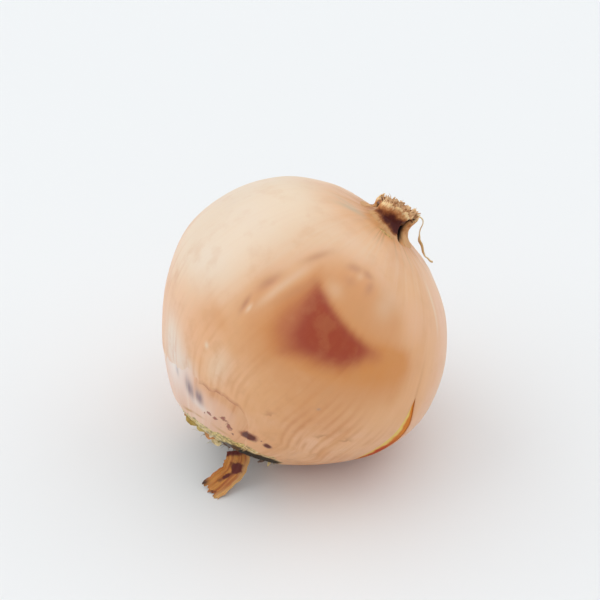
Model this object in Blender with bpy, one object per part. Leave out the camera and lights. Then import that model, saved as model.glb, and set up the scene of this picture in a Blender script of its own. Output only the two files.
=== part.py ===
"""A whole yellow onion as it lies on a table. Metres, +Z up.

Nodes: bulb (the grown body with its neck, its split dry skin and the skin torn away round the root end),
root_plate (the basal plate with its dead roots), skin_strip (a shred of dry skin that hangs from the root
end to the table) and leaf_ends (the dried, cut leaf ends that stand out of the neck, with one long thread).

The onion is shaped about its own axis, from the roots (low end) to the neck (high end). Places on it are
a turn round the axis, in degrees, and a height along the axis over its widest ring. The axis then leans
over. The origin is the middle of the small flat spot that the bulb rests on.
"""

import math
import random

import bmesh
import bpy
import numpy as np
from mathutils import Matrix, Vector

MM = 0.001

# How the onion lies: its axis leans from upright towards +X, and a little away towards +Y.
LEAN = 42.2
HEADING = 18.4
BULB_CENTRE = Vector((-1.82, -0.17, 38.6)) * MM

# Half outline in mm, (distance from the axis, height): root hollow, rim, belly, shoulder, neck and the
# hollow between the cut leaves.
OUTLINE = (
    (0.0, -34.8), (6.9, -35.3), (9.4, -37.0), (12.5, -38.4), (19.9, -35.5), (30.3, -26.2),
    (38.4, -14.4), (42.5, 0.0), (39.0, 14.7), (30.6, 26.5), (20.1, 33.3), (13.3, 35.4),
    (9.1, 36.4), (6.8, 37.8), (6.1, 39.6), (6.7, 42.3), (6.0, 43.1), (5.2, 42.0),
    (4.6, 39.4), (0.0, 38.8),
)  # fmt: skip
OUTLINE_STEPS = 24
RIM = -38.4
NECK_FOOT = 35.4
NECK_TOP = 43.1

# Both ends of the axis bend the same way, and the body has low lobes: (how many, size, turn).
BEND = 2.4
BEND_TURN = 192.0
SHEAR = 0.016
SHEAR_TURN = 178.0
LOBES = ((2, 0.008, 195.0), (3, 0.0012, 213.0), (7, 0.0015, 0.0))

# The root end sits off the axis and is tilted: not at all above the first depth, fully below the second.
ROOT_DEPTHS = (16.0, 37.0)
ROOT_SHIFT = 5.3
ROOT_SHIFT_TURN = -66.6
ROOT_TILT = 0.2
ROOT_TILT_TURN = -49.0

# The neck is drawn in, moved and cut at a slant, lower on its left: not at all below the first height.
NECK_HEIGHTS = (35.5, 42.0)
NECK_NARROW = 0.1
NECK_SHIFT = 0.4
NECK_DROP = 0.65
NECK_SLANT = 0.21
NECK_TURN = -30.0

PLEATS = 17
PLEAT_DEPTH = 0.22

COLUMNS = 84
ROOT_ROWS, BELLY_ROWS, NECK_ROWS = 7, 24, 14

GAP = 0.3

# Where the dry skin has split, from its upper end to its lower end: (turn, height) of the middle line.
SPLIT = (
    (-68.0, 17.0), (-66.5, 11.5), (-64.0, 6.5), (-59.5, 0.0), (-54.5, -6.0), (-50.5, -12.0), (-48.0, -19.0),
)  # fmt: skip
SPLIT_WIDTH = 4.0
SPLIT_DEPTH = 1.3
LIP_RISE = 0.3
LIP_REACH = 8.0

# The patch by the root end where the outer dry skin has torn away, (turn, height) along its ragged edge.
TORN_EDGE = (
    (-222.0, -35.5), (-205.0, -31.0), (-190.0, -29.3), (-172.0, -28.0), (-154.0, -24.8), (-144.0, -23.7),
    (-134.0, -21.8), (-124.0, -21.2), (-119.0, -24.5), (-114.0, -32.5),
)  # fmt: skip
TORN_DEPTH = 0.5

# The slots between the sheaths that wrap the neck: (turn, height) up each one, and its width.
NECK_SLITS = (
    (((-81.0, 36.2), (-84.0, 37.8), (-80.0, 39.6), (-70.0, 41.6), (-60.0, 43.6)), 0.9),
    (((170.0, 39.4), (173.0, 41.0), (175.0, 42.4), (176.0, 43.6)), 1.4),
)
SLIT_DEPTH = 1.5

# Where the strip of dry skin runs, from the root rim to the table: (x, y, z) along its middle.
STRIP_PATH = (
    (-20.8, -23.1, 10.2), (-21.1, -24.3, 7.4), (-22.3, -25.5, 4.8), (-24.7, -26.8, 2.3), (-27.5, -29.1, 0.55),
)  # fmt: skip
STRIP_WIDTHS = (5.2, 7.0, 7.6, 7.2, 6.4)
STRIP_ACROSS = ((-0.83, -0.07, 0.55), (-0.9, 0.44, 0.0))
STRIP_THICKNESS = 0.6
STRIP_TURN = -98.0
STRIP_CLEAR = 30.0

# Where the long thread hangs from the cut leaves: (x, y, z).
THREAD_PATH = (
    (25.2, 6.5, 69.9), (29.1, 5.5, 70.1), (30.2, 4.5, 68.2), (29.4, 4.7, 64.9), (29.7, 4.7, 62.5),
    (30.7, 4.7, 59.1), (31.6, 4.7, 57.0), (33.5, 4.7, 55.5),
)  # fmt: skip
THREAD_RADII = (0.5, 0.4, 0.34, 0.32, 0.45, 0.42, 0.32, 0.3)

CUTTER = 60 * MM
TATTERS = 17
ROOTS = 66
LEAF_SHREDS = 15


def smooth_curve(points, steps):
    """Catmull-Rom curve through the points, `steps` to a span, as one array."""
    p = np.array(points, float)
    p = np.vstack([2 * p[0] - p[1], p, 2 * p[-1] - p[-2]])
    t = np.linspace(0, 1, steps, endpoint=False)[:, None]
    spans = []
    for a, b, c, d in zip(p, p[1:], p[2:], p[3:]):
        square = (2 * a - 5 * b + 4 * c - d) * t**2
        cube = (3 * b - a - 3 * c + d) * t**3
        spans.append(0.5 * (2 * b + (c - a) * t + square + cube))
    return np.vstack([*spans, p[-2:-1]])


OUTLINE_CURVE = smooth_curve(OUTLINE, OUTLINE_STEPS)
OUTLINE_STEP = np.linalg.norm(np.diff(OUTLINE_CURVE, axis=0), axis=1)
OUTLINE_RUN = np.concatenate([[0.0], np.cumsum(OUTLINE_STEP)])
OUTLINE_RUN /= OUTLINE_RUN[-1]
OUTLINE_SLOPE = np.gradient(OUTLINE_CURVE, OUTLINE_RUN, axis=0)
OUTER = slice(int(np.argmin(OUTLINE_CURVE[:, 1])), int(np.argmax(OUTLINE_CURVE[:, 1])) + 1)


def run_at(height):
    """How far along the outline, from 0 to 1, its outer side passes this height."""
    return np.interp(height, OUTLINE_CURVE[OUTER, 1], OUTLINE_RUN[OUTER])


def smooth_step(x, low, high):
    t = np.clip((np.asarray(x, float) - low) / (high - low), 0, 1)
    return t * t * (3 - 2 * t)


def lip(turn, height):
    """How far the free edge of the split skin curls up: most at the split, none LIP_REACH away."""
    heights = [point[1] for point in SPLIT][::-1]
    turns = [point[0] for point in SPLIT][::-1]
    split_turn = np.interp(height, heights, turns)
    away = (split_turn - turn + 180) % 360 - 180
    ends = smooth_step(height, heights[0] - 2, heights[0] + 8) * (1 - smooth_step(height, -2, heights[-1]))
    arc = np.radians(np.clip(away, 0, 90)) * 38
    return LIP_RISE * ends * (away > -0.5) * np.clip(1 - arc / LIP_REACH, 0, 1) ** 2


def set_ends(points):
    """Points of the onion's own frame, in mm, with the root end moved off the axis and tilted, and the
    neck drawn in, moved and slanted."""
    share = smooth_step(-points[..., 2], *ROOT_DEPTHS)
    shift, tilt = math.radians(ROOT_SHIFT_TURN), math.radians(ROOT_TILT_TURN)
    rise = ROOT_TILT * (points[..., 0] * math.cos(tilt) + points[..., 1] * math.sin(tilt))
    aside = ROOT_SHIFT + 0 * rise
    move = share[..., None] * np.stack([aside * math.cos(shift), aside * math.sin(shift), rise], axis=-1)
    share = smooth_step(points[..., 2], *NECK_HEIGHTS)
    from_axis = points - axis_shift(42.0)
    across, along = from_axis[..., 0], from_axis[..., 1]
    c, s = math.cos(math.radians(NECK_TURN)), math.sin(math.radians(NECK_TURN))
    rise = NECK_SLANT * (across * c + along * s) - NECK_DROP
    move_neck = np.stack([NECK_SHIFT * c - NECK_NARROW * across, NECK_SHIFT * s - NECK_NARROW * along, rise], axis=-1)
    return points + move + share[..., None] * move_neck


def onion_point(turn, run, lift=0.0):
    """Points of the onion's surface, in the onion's own frame, in metres.

    The outline at `run`, moved out by `lift` mm, is turned about the axis and scaled from the centre by
    the shear and the lobes; towards both ends the skin gathers into pleats and the axis bends. Then the
    root end is set off the axis.
    """
    turn, run, lift = np.broadcast_arrays(*(np.asarray(v, float) for v in (turn, run, lift)))
    radius = np.interp(run, OUTLINE_RUN, OUTLINE_CURVE[:, 0])
    height = np.interp(run, OUTLINE_RUN, OUTLINE_CURVE[:, 1])
    slope_r = np.interp(run, OUTLINE_RUN, OUTLINE_SLOPE[:, 0])
    slope_h = np.interp(run, OUTLINE_RUN, OUTLINE_SLOPE[:, 1])
    length = np.hypot(slope_r, slope_h)
    radius = radius + lift * slope_h / length
    height = height - lift * slope_r / length
    angle = np.radians(turn)
    polar = np.arctan2(radius, height)
    scale = 1 + SHEAR * np.sin(2 * polar) * np.cos(angle - math.radians(SHEAR_TURN))
    for count, size, phase in LOBES:
        scale = scale + size * np.sin(polar) ** 2 * np.cos(count * (angle - math.radians(phase)))
    gather = smooth_step(height, 24, 35) + smooth_step(-height, 30, 37)
    pleats = PLEAT_DEPTH * gather * np.cos(PLEATS * angle + 1.6 * np.sin(3 * angle))
    radius = radius * scale + pleats * (radius > 5)
    height = height * scale
    bent = BEND * (height / 40) ** 2
    across = radius * np.cos(angle) + bent * math.cos(math.radians(BEND_TURN))
    along = radius * np.sin(angle) + bent * math.sin(math.radians(BEND_TURN))
    return set_ends(np.stack([across, along, height], axis=-1)) * MM


def onion_frame():
    """The matrix that leans the onion over and sets it on the table."""
    lean = Matrix.Rotation(math.radians(HEADING), 4, "Z") @ Matrix.Rotation(math.radians(LEAN), 4, "Y")
    return Matrix.Translation(BULB_CENTRE) @ lean


def mesh_object(name, points, faces):
    """An object whose mesh has these points and faces, its faces pointing out."""
    mesh = bpy.data.meshes.new(name)
    mesh.from_pydata([tuple(p) for p in points], [], faces)
    shape = bmesh.new()
    shape.from_mesh(mesh)
    bmesh.ops.recalc_face_normals(shape, faces=shape.faces)
    shape.to_mesh(mesh)
    shape.free()
    obj = bpy.data.objects.new(name, mesh)
    bpy.context.scene.collection.objects.link(obj)
    return obj


def capped_rings(rings, start=None, end=None):
    """(points, faces) of closed rings joined one to the next, closed at each end by a point or a face."""
    rings = np.asarray(rings)
    count, side = rings.shape[:2]
    points = list(rings.reshape(-1, 3))
    faces = []
    for i in range(count - 1):
        for j in range(side):
            k = (j + 1) % side
            faces.append((i * side + j, i * side + k, (i + 1) * side + k, (i + 1) * side + j))
    for ring, tip in ((0, start), (count - 1, end)):
        around = [ring * side + j for j in range(side)]
        if tip is None:
            faces.append(tuple(around))
        else:
            points.append(tip)
            faces += [(a, b, len(points) - 1) for a, b in zip(around, around[1:] + around[:1])]
    return points, faces


def material(name, colour, roughness):
    made = bpy.data.materials.new(name)
    made.use_nodes = True
    shader = made.node_tree.nodes["Principled BSDF"]
    shader.inputs["Base Color"].default_value = (*colour, 1.0)
    shader.inputs["Roughness"].default_value = roughness
    shader.inputs["Metallic"].default_value = 0.0
    return made


def apply_modifiers(obj):
    """Makes the evaluated mesh the object's own."""
    graph = bpy.context.evaluated_depsgraph_get()
    mesh = bpy.data.meshes.new_from_object(obj.evaluated_get(graph))
    obj.modifiers.clear()
    obj.data = mesh


def boolean(obj, other, operation):
    modifier = obj.modifiers.new(operation.lower(), "BOOLEAN")
    modifier.operation = operation
    modifier.solver = "EXACT"
    if isinstance(other, bpy.types.Collection):
        modifier.operand_type = "COLLECTION"
        modifier.collection = other
    else:
        modifier.object = other
    apply_modifiers(obj)
    for used in list(other.objects) if isinstance(other, bpy.types.Collection) else [other]:
        bpy.data.objects.remove(used)
    if isinstance(other, bpy.types.Collection):
        bpy.data.collections.remove(other)


def finish(obj, surface, sharp_from=40.0):
    """Gives the object its material and smooth shading, with an edge where it turns more than this."""
    obj.data.materials.clear()
    obj.data.materials.append(surface)
    obj.data.shade_smooth()
    obj.data.set_sharp_from_angle(angle=math.radians(sharp_from))


def box_below_table():
    """A block whose top is the table, which flattens the spot the bulb rests on."""
    c = CUTTER
    corners = [(x, y, z) for z in (-c, 0.0) for x, y in ((-c, -c), (c, -c), (c, c), (-c, c))]
    faces = [(0, 1, 2, 3), (4, 5, 6, 7), (0, 1, 5, 4), (1, 2, 6, 5), (2, 3, 7, 6), (3, 0, 4, 7)]
    return mesh_object("below_table", corners, faces)


def bulb_body():
    """The closed body of revolution, from the root hollow to the hollow in the neck."""
    rim, foot = run_at(RIM + 0.3), run_at(NECK_FOOT)
    runs = np.concatenate([
        np.linspace(0, rim, ROOT_ROWS, endpoint=False)[1:],
        np.linspace(rim, foot, BELLY_ROWS, endpoint=False),
        np.linspace(foot, 1, NECK_ROWS, endpoint=False),
    ])
    turns = np.linspace(-180, 180, COLUMNS, endpoint=False)
    run, turn = np.meshgrid(runs, turns, indexing="ij")
    height = np.interp(run, OUTLINE_RUN, OUTLINE_CURVE[:, 1])
    rings = onion_point(turn, run, lip(turn, height))
    poles = onion_point(0, [0.0, 1.0])
    return mesh_object("bulb", *capped_rings(rings, poles[0], poles[1]))


def split_cutter():
    """The lens-shaped gap of the split: a wedge along the split line whose floor runs under the lip."""
    line = smooth_curve(SPLIT, 5)
    share = np.linspace(0, 1, len(line))
    width = 0.15 + SPLIT_WIDTH * np.sin(math.pi * share**0.9)
    under = 0.45 * width
    depth = 0.2 + SPLIT_DEPTH * np.sin(math.pi * share) ** 0.5
    high = 4.0 + 0 * width
    half = 0.5 * width
    profile = (
        (half, high), (half, -depth), (-half - under, -depth),
        (-half - under, 0.25 - 0.5 * depth), (-half, 0.3 - 0.3 * depth), (-half, high),
    )  # fmt: skip
    around = [np.interp(line[:, 1], OUTLINE_CURVE[OUTER, 1], OUTLINE_CURVE[OUTER, 0])]
    rings = []
    for across, lift in profile:
        turn = line[:, 0] + np.degrees(across / around[0])
        rings.append(onion_point(turn, run_at(line[:, 1]), lift))
    return mesh_object("split_cutter", *capped_rings(np.stack(rings, axis=1)))


def torn_cutter():
    """The shell that leaves the torn patch by the roots one skin lower, with a ragged edge."""
    edge = smooth_curve(TORN_EDGE, 6)
    wobble = random.Random(5)
    heights = edge[:, 1] + [wobble.uniform(-0.5, 0.5) for _ in edge]
    low = run_at(RIM + 0.35)
    rows = 6
    share = np.linspace(0, 1, rows)
    run = low + (run_at(heights)[:, None] - low) * share
    turn = np.repeat(edge[:, :1], rows, axis=1)
    inner = onion_point(turn, run, -TORN_DEPTH)
    outer = onion_point(turn, run, 3.0)
    return mesh_object("torn_cutter", *capped_rings(np.concatenate([inner, outer[:, ::-1]], axis=1)))


def neck_slits():
    """Slots between the dried sheaths that wrap the neck, each a strip cut square to the surface."""
    made = []
    for line, width in NECK_SLITS:
        path = smooth_curve(line, 4)
        share = np.linspace(0, 1, len(path))
        half = np.degrees((0.06 + 0.5 * width * np.sin(math.pi * share**0.8) ** 0.6) / 6.6)
        over = np.maximum(0.0, path[:, 1] - 42.2)
        rings = []
        for side, lift in ((1, 2.5), (1, -SLIT_DEPTH), (-1, -SLIT_DEPTH), (-1, 2.5)):
            corner = onion_point(path[:, 0] + side * half, run_at(path[:, 1] - over), lift)
            corner[:, 2] += over * MM
            rings.append(corner)
        made.append(mesh_object("neck_slit", *capped_rings(np.stack(rings, axis=1))))
    return made


def blade(name, path, across, widths, thickness):
    """A thin tapered blade along a path, with its width along `across` at each point."""
    path = np.asarray(path, float)
    along = np.gradient(path, axis=0)
    along /= np.linalg.norm(along, axis=1, keepdims=True)
    side = np.asarray(across, float) * np.ones_like(path)
    side -= along * (side * along).sum(axis=1, keepdims=True)
    side /= np.linalg.norm(side, axis=1, keepdims=True)
    out = np.cross(along, side)
    half = np.asarray(widths)[:, None] / 2
    thick = np.broadcast_to(np.asarray(thickness, float), len(path))[:, None] / 2
    corners = (side * half + out * thick * 0.3, out * thick * 1.7, -side * half + out * thick * 0.3,
               -side * half - out * thick * 0.7, -out * thick * 0.7, side * half - out * thick * 0.7)
    return mesh_object(name, *capped_rings(path[:, None] + np.stack(corners, axis=1)))


def tube(name, path, radii, sides):
    """A tapered tube with a few sides along a path."""
    path = np.asarray(path, float)
    along = np.gradient(path, axis=0)
    along /= np.linalg.norm(along, axis=1, keepdims=True)
    side = np.cross(along, (0.31, 0.87, 0.21))
    side /= np.linalg.norm(side, axis=1, keepdims=True)
    other = np.cross(along, side)
    angles = np.linspace(0, 2 * math.pi, sides, endpoint=False)
    ring = side[:, None] * np.cos(angles)[:, None] + other[:, None] * np.sin(angles)[:, None]
    return mesh_object(name, *capped_rings(path[:, None] + ring * np.asarray(radii)[:, None, None]))


def gather(name, objects):
    """A collection that holds these objects and nothing else does."""
    made = bpy.data.collections.new(name)
    bpy.context.scene.collection.children.link(made)
    for obj in objects:
        bpy.context.scene.collection.objects.unlink(obj)
        made.objects.link(obj)
    return made


def rim_tatters():
    """Ragged ends of the dry skins round the root hollow, of uneven length, clear of the strip of skin."""
    pick = random.Random(11)
    made = []
    for index in range(TATTERS):
        turn = 360 * (index + pick.uniform(-0.3, 0.3)) / TATTERS
        if abs((turn - STRIP_TURN + 180) % 360 - 180) < STRIP_CLEAR:
            continue
        length, flare = pick.uniform(0.9, 2.2), pick.uniform(0.1, 1.0)
        width = pick.uniform(2.4, 4.4)
        heights = np.array([0.0, 0.45, 1.0]) * length
        root = onion_point(turn, run_at(RIM + 0.15), -0.8)
        out = np.array((math.cos(math.radians(turn)), math.sin(math.radians(turn)), 0.0))
        side = np.array((-out[1], out[0], 0.0))
        drop = np.array((0.0, 0.0, -1.0))
        path = [root + (drop * (high + 0.4) + out * flare * (high / length) ** 2) * MM for high in heights]
        widths = np.array([width, 0.8 * width, 0.25 * width + 0.3]) * MM
        made.append(blade("tatter", path, side, widths, 0.65 * MM))
    return made


def disc(name, levels):
    """A round plug about the bent axis, from its (radius, height) levels, with a slightly wavy edge."""
    angles = np.linspace(0, 2 * math.pi, 28, endpoint=False)
    rings = []
    for radius, height in levels:
        wavy = radius * (1 + 0.05 * np.sin(3 * angles + 1.0) + 0.03 * np.sin(7 * angles))
        rings.append(np.stack([wavy * np.cos(angles), wavy * np.sin(angles), height + 0 * angles], axis=-1))
    bent = BEND * (np.array(levels)[:, 1] / 40) ** 2
    turn = math.radians(BEND_TURN)
    shift = np.stack([bent * math.cos(turn), bent * math.sin(turn), 0 * bent], axis=-1)
    return mesh_object(name, *capped_rings(set_ends(np.array(rings) + shift[:, None]) * MM))


def axis_shift(height):
    bent = BEND * (height / 40) ** 2
    return np.array((bent * math.cos(math.radians(BEND_TURN)), bent * math.sin(math.radians(BEND_TURN)), 0.0))


def dead_roots():
    """Short dry roots that stand out of the basal plate and curl outwards, clear of the strip of skin."""
    pick = random.Random(23)
    made = []
    for index in range(ROOTS):
        reach = 5.9 * math.sqrt((index + 0.5) / ROOTS)
        turn = index * 2.399963
        base = np.array((reach * math.cos(turn), reach * math.sin(turn), -36.7)) + axis_shift(-36)
        aim = turn + pick.uniform(-0.6, 0.6)
        out = np.array((math.cos(aim), math.sin(aim), 0.0))
        length = pick.uniform(2.0, 4.2) + 1.2 * pick.random() ** 3 * 3
        beside = abs((math.degrees(turn) - STRIP_TURN + 180) % 360 - 180)
        spread = pick.uniform(0.15, 0.75) * reach / 5.9 * smooth_step(beside, 25, 60)
        curl = pick.uniform(-0.35, 0.45)
        side = np.array((-out[1], out[0], 0.0))
        path = []
        for share in (0.0, 0.35, 0.7, 1.0):
            swing = out * spread * share**1.5 + side * curl * share**2
            path.append(base + length * (swing + np.array((0.0, 0.0, -share * (1 - 0.2 * share * spread)))))
        radii = np.array((0.42, 0.36, 0.32, 0.26)) * pick.uniform(0.85, 1.15)
        made.append(tube("root", set_ends(np.array(path)) * MM, radii * MM, 4))
    return made


def leaf_shreds():
    """Cut ends of the dried leaves in the neck, each a bent blade, and the thread that hangs from them."""
    pick = random.Random(31)
    made = []
    for index in range(LEAF_SHREDS):
        turn = index * 2.399963
        reach = 3.6 * math.sqrt((index + 0.5) / LEAF_SHREDS)
        out = np.array((math.cos(turn), math.sin(turn), 0.0))
        side = np.array((-out[1], out[0], 0.0))
        base = out * reach + axis_shift(42) + (0.0, 0.0, 40.6)
        length = pick.uniform(3.0, 4.7)
        lean, twist = pick.uniform(-0.05, 0.3) * reach / 3.6, pick.uniform(-0.3, 0.3)
        up = np.array((0.0, 0.0, 1.0))
        bow = out * lean + side * twist
        path = [base + length * (up * share + bow * share**2) for share in (0.0, 0.5, 0.8, 1.0)]
        width = pick.uniform(1.5, 2.9)
        widths = np.array((width, width, 0.75 * width, pick.uniform(0.35, 0.9))) * MM
        made.append(blade("shred", set_ends(np.array(path)) * MM, side, widths, 0.62 * MM))
    back = onion_frame().inverted()
    path = smooth_curve([tuple(back @ (Vector(point) * MM)) for point in THREAD_PATH], 2)
    radii = np.interp(np.linspace(0, 1, len(path)), np.linspace(0, 1, len(THREAD_RADII)), THREAD_RADII)
    made.append(tube("thread", path, radii * MM, 5))
    return made


def skin_strip():
    """The shred of dry skin that hangs from the root hollow, gently cupped, down to the table."""
    path = smooth_curve(STRIP_PATH, 4)
    share = np.linspace(0, 1, len(path))
    widths = np.interp(share, np.linspace(0, 1, len(STRIP_WIDTHS)), STRIP_WIDTHS)
    widths = widths + 0.25 * np.sin(19 * share) + 0.15 * np.sin(41 * share)
    along = np.gradient(path, axis=0)
    along /= np.linalg.norm(along, axis=1, keepdims=True)
    start, end = (np.array(across) for across in STRIP_ACROSS)
    side = start + (end - start) * share[:, None]
    side -= along * (along * side).sum(axis=1, keepdims=True)
    side /= np.linalg.norm(side, axis=1, keepdims=True)
    face = np.cross(side, along)
    rings = []
    half = STRIP_THICKNESS / 2
    places = np.linspace(-1, 1, 7)
    for spot, layer in [(x, half) for x in places] + [(x, -half) for x in places[::-1]]:
        cup = 0.55 * spot**2 + 0.2 * np.sin(3.0 * spot + 7 * share)
        rings.append(path + side * (0.5 * widths * spot)[:, None] + face * (cup + layer)[:, None])
    rings = np.stack(rings, axis=1)
    rings[..., 2] = np.maximum(rings[..., 2], 0.02)
    return mesh_object("skin_strip", *capped_rings(rings * MM))


def fuse(body, pieces):
    """Makes the body and the pieces one closed solid, with no pocket sealed inside it."""
    boolean(body, gather("fused", pieces), "UNION")
    shape = bmesh.new()
    shape.from_mesh(body.data)
    left = set(shape.verts)
    islands = []
    while left:
        front = [left.pop()]
        island = []
        while front:
            vertex = front.pop()
            island.append(vertex)
            for edge in vertex.link_edges:
                other = edge.other_vert(vertex)
                if other in left:
                    left.remove(other)
                    front.append(other)
        islands.append(island)
    islands.sort(key=len)
    for island in islands[:-1]:
        bmesh.ops.delete(shape, geom=island, context="VERTS")
    shape.to_mesh(body.data)
    shape.free()
    return body


def main():
    for old in list(bpy.data.objects):
        bpy.data.objects.remove(old)

    bulb = bulb_body()
    fuse(bulb, rim_tatters())
    boolean(bulb, split_cutter(), "DIFFERENCE")
    boolean(bulb, torn_cutter(), "DIFFERENCE")
    for slit in neck_slits():
        boolean(bulb, slit, "DIFFERENCE")
    bulb.data.transform(onion_frame())
    boolean(bulb, box_below_table(), "DIFFERENCE")
    finish(bulb, material("dry_skin", (0.72, 0.40, 0.20), 0.4), sharp_from=10.5)

    plate = fuse(disc("root_plate", ((5.6, -35.9), (6.3, -36.3), (6.2, -37.2), (4.5, -37.7))), dead_roots())
    plate.data.transform(onion_frame())
    finish(plate, material("dead_root", (0.45, 0.38, 0.24), 0.8))

    strip = skin_strip()
    finish(strip, material("torn_skin", (0.42, 0.19, 0.07), 0.5))

    ends = fuse(disc("leaf_ends", ((3.4, 39.9), (4.0, 40.4), (4.2, 41.4), (3.0, 42.1))), leaf_shreds())
    ends.data.transform(onion_frame())
    finish(ends, material("dry_leaf", (0.55, 0.35, 0.17), 0.7))


main()
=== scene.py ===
"""The looks of a whole onion around its CAD solids: skins, torn patch, split, neck, leaf ends and roots.

Every surface is shaped about the onion's own axis, in millimetres. A place on it is a turn round the axis,
in degrees, and a run along the half outline, from 0 in the root hollow to 1 in the hollow of the neck.
"""

import math

import bpy
import numpy as np
from mathutils import Matrix, Vector


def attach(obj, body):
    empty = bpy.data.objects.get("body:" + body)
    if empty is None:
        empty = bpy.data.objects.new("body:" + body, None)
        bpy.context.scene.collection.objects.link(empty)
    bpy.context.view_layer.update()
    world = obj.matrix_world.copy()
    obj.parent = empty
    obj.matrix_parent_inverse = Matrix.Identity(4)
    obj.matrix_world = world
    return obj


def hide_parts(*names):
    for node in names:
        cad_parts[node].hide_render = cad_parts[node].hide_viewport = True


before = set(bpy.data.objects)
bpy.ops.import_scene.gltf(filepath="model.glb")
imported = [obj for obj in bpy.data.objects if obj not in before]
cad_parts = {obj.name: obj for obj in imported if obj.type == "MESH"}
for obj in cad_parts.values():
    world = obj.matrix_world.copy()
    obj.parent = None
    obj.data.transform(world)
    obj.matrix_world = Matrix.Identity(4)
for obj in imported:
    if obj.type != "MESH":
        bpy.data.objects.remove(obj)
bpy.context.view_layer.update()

# ---------------------------------------------------------------- the onion's shape, as in its solids
MM = 0.001
LEAN, HEADING = math.radians(42.2), math.radians(18.4)
BULB_CENTRE = Vector((-1.82, -0.17, 38.6)) * MM
# (radius, height) along the half outline: root hollow, rim, widest ring, neck and the hollow in its top
OUTLINE = (
    (0.0, -34.8), (6.9, -35.3), (9.4, -37.0), (12.5, -38.4), (19.9, -35.5), (30.3, -26.2),
    (38.4, -14.4), (42.5, 0.0), (39.0, 14.7), (30.6, 26.5), (20.1, 33.3), (13.3, 35.4),
    (9.1, 36.4), (6.8, 37.8), (6.1, 39.6), (6.7, 42.3), (6.0, 43.1), (5.2, 42.0),
    (4.6, 39.4), (0.0, 38.8),
)  # fmt: skip
# The axis bends aside by BEND at 40 mm from the ring, the bulb leans over by SHEAR and swells in LOBES
BEND, BEND_TURN = 2.4, math.radians(192)
SHEAR, SHEAR_TURN = 0.016, math.radians(178)
LOBES = ((2, 0.008, 195.0), (3, 0.0012, 213.0), (7, 0.0015, 0.0))
# The root end, between these depths, moves aside and tilts; the neck narrows, moves, slants and drops
ROOT_DEPTHS = (16.0, 37.0)
ROOT_SHIFT, ROOT_SHIFT_TURN = 5.3, math.radians(-66.6)
ROOT_TILT, ROOT_TILT_TURN = 0.2, math.radians(-49)
NECK_HEIGHTS, NECK_TURN = (35.5, 42.0), math.radians(-30)
NECK_NARROW, NECK_SHIFT, NECK_DROP, NECK_SLANT = 0.1, 0.4, 0.65, 0.21
# The split's middle line as (turn, height), and half its width as (height, mm)
SPLIT = (
    (-68.0, 17.0), (-66.5, 11.5), (-64.0, 6.5), (-60.0, 0.5),
    (-56.0, -6.0), (-52.5, -12.0), (-49.0, -19.0), (-46.0, -24.0),
)  # fmt: skip
SPLIT_HALVES = (
    (-23.0, 0.0), (-19.5, 1.8), (-15.0, 3.8), (-11.3, 4.2),
    (-6.5, 3.8), (1.2, 2.4), (6.0, 1.0), (9.5, 0.0),
)  # fmt: skip
# The lower edge of the outer skin over the torn patch, as (turn, height), and the height of the root rim
TORN_EDGE = (
    (-222.0, -35.5), (-205.0, -31.0), (-190.0, -29.3), (-172.0, -28.0), (-154.0, -24.8), (-144.0, -23.7),
    (-134.0, -21.8), (-124.0, -21.2), (-119.0, -24.5), (-115.0, -31.0), (-112.0, -35.8), (-108.5, -38.6),
)  # fmt: skip
RIM = -38.4
# The skin's dents and swellings: (mm, turn, height, width, length, lean)
DENTS = (
    (-0.45, -147, 11.5, 2.0, 3.2, 20), (-0.35, -147.5, 3.2, 1.3, 2.6, 10), (0.4, -119, 24, 6.5, 5.5),
    (-0.25, -129, 20, 3.4, 5.5, 25), (0.6, -42, -14, 6.0, 8.0),
)  # fmt: skip
# The angle in radians from one shred or root to the next, which spreads them like a sunflower's seeds
GOLDEN_ANGLE = 2.399963


def smooth_curve(points, steps):
    """Catmull-Rom curve through the points: each span is the cubic that leaves and reaches its ends along
    the chords of their neighbours."""
    p = np.array(points, float)
    p = np.vstack([2 * p[0] - p[1], p, 2 * p[-1] - p[-2]])
    t = np.linspace(0, 1, steps, endpoint=False)[:, None]
    spans = []
    for a, b, c, d in zip(p, p[1:], p[2:], p[3:]):
        square = (2 * a - 5 * b + 4 * c - d) * t**2
        cube = (3 * b - a - 3 * c + d) * t**3
        spans.append(0.5 * (2 * b + (c - a) * t + square + cube))
    return np.vstack([*spans, p[-2:-1]])


CURVE = smooth_curve(OUTLINE, 24)
STEP = np.linalg.norm(np.diff(CURVE, axis=0), axis=1)
LENGTH = STEP.sum()
RUN = np.concatenate([[0.0], np.cumsum(STEP)]) / LENGTH
SLOPE = np.gradient(CURVE, RUN, axis=0)
OUTER = slice(int(np.argmin(CURVE[:, 1])), int(np.argmax(CURVE[:, 1])) + 1)


def run_at(height):
    """The run at which the outline's outer side passes this height."""
    return np.interp(height, CURVE[OUTER, 1], RUN[OUTER])


def height_at(run):
    """The outline's height at this run."""
    return np.interp(run, RUN, CURVE[:, 1])


def radius_at(run):
    """The outline's radius at this run."""
    return np.interp(run, RUN, CURVE[:, 0])


def smooth_step(x, low, high):
    """0 below `low`, 1 above `high`, and the cubic 3t^2 - 2t^3 between them."""
    t = np.clip((np.asarray(x, float) - low) / (high - low), 0, 1)
    return t * t * (3 - 2 * t)


def wrap(degrees):
    """The same direction as an angle from -180 to 180."""
    return (degrees + 180) % 360 - 180


def ripples(angle, along, seed, number, around, lengthwise):
    """Sum of cosines of (whole number x angle + rate x along + phase), each rate drawn between the two
    limits of its range, scaled so that the sum is about 1 at most."""
    draw = np.random.default_rng(seed)
    total = 0
    for _ in range(number):
        count = draw.integers(around[0], around[1] + 1)
        rate = draw.uniform(*lengthwise) * draw.choice((-1, 1))
        total = total + np.cos(count * angle + rate * along + draw.uniform(0, 2 * math.pi))
    return total / math.sqrt(2 * number)


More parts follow.
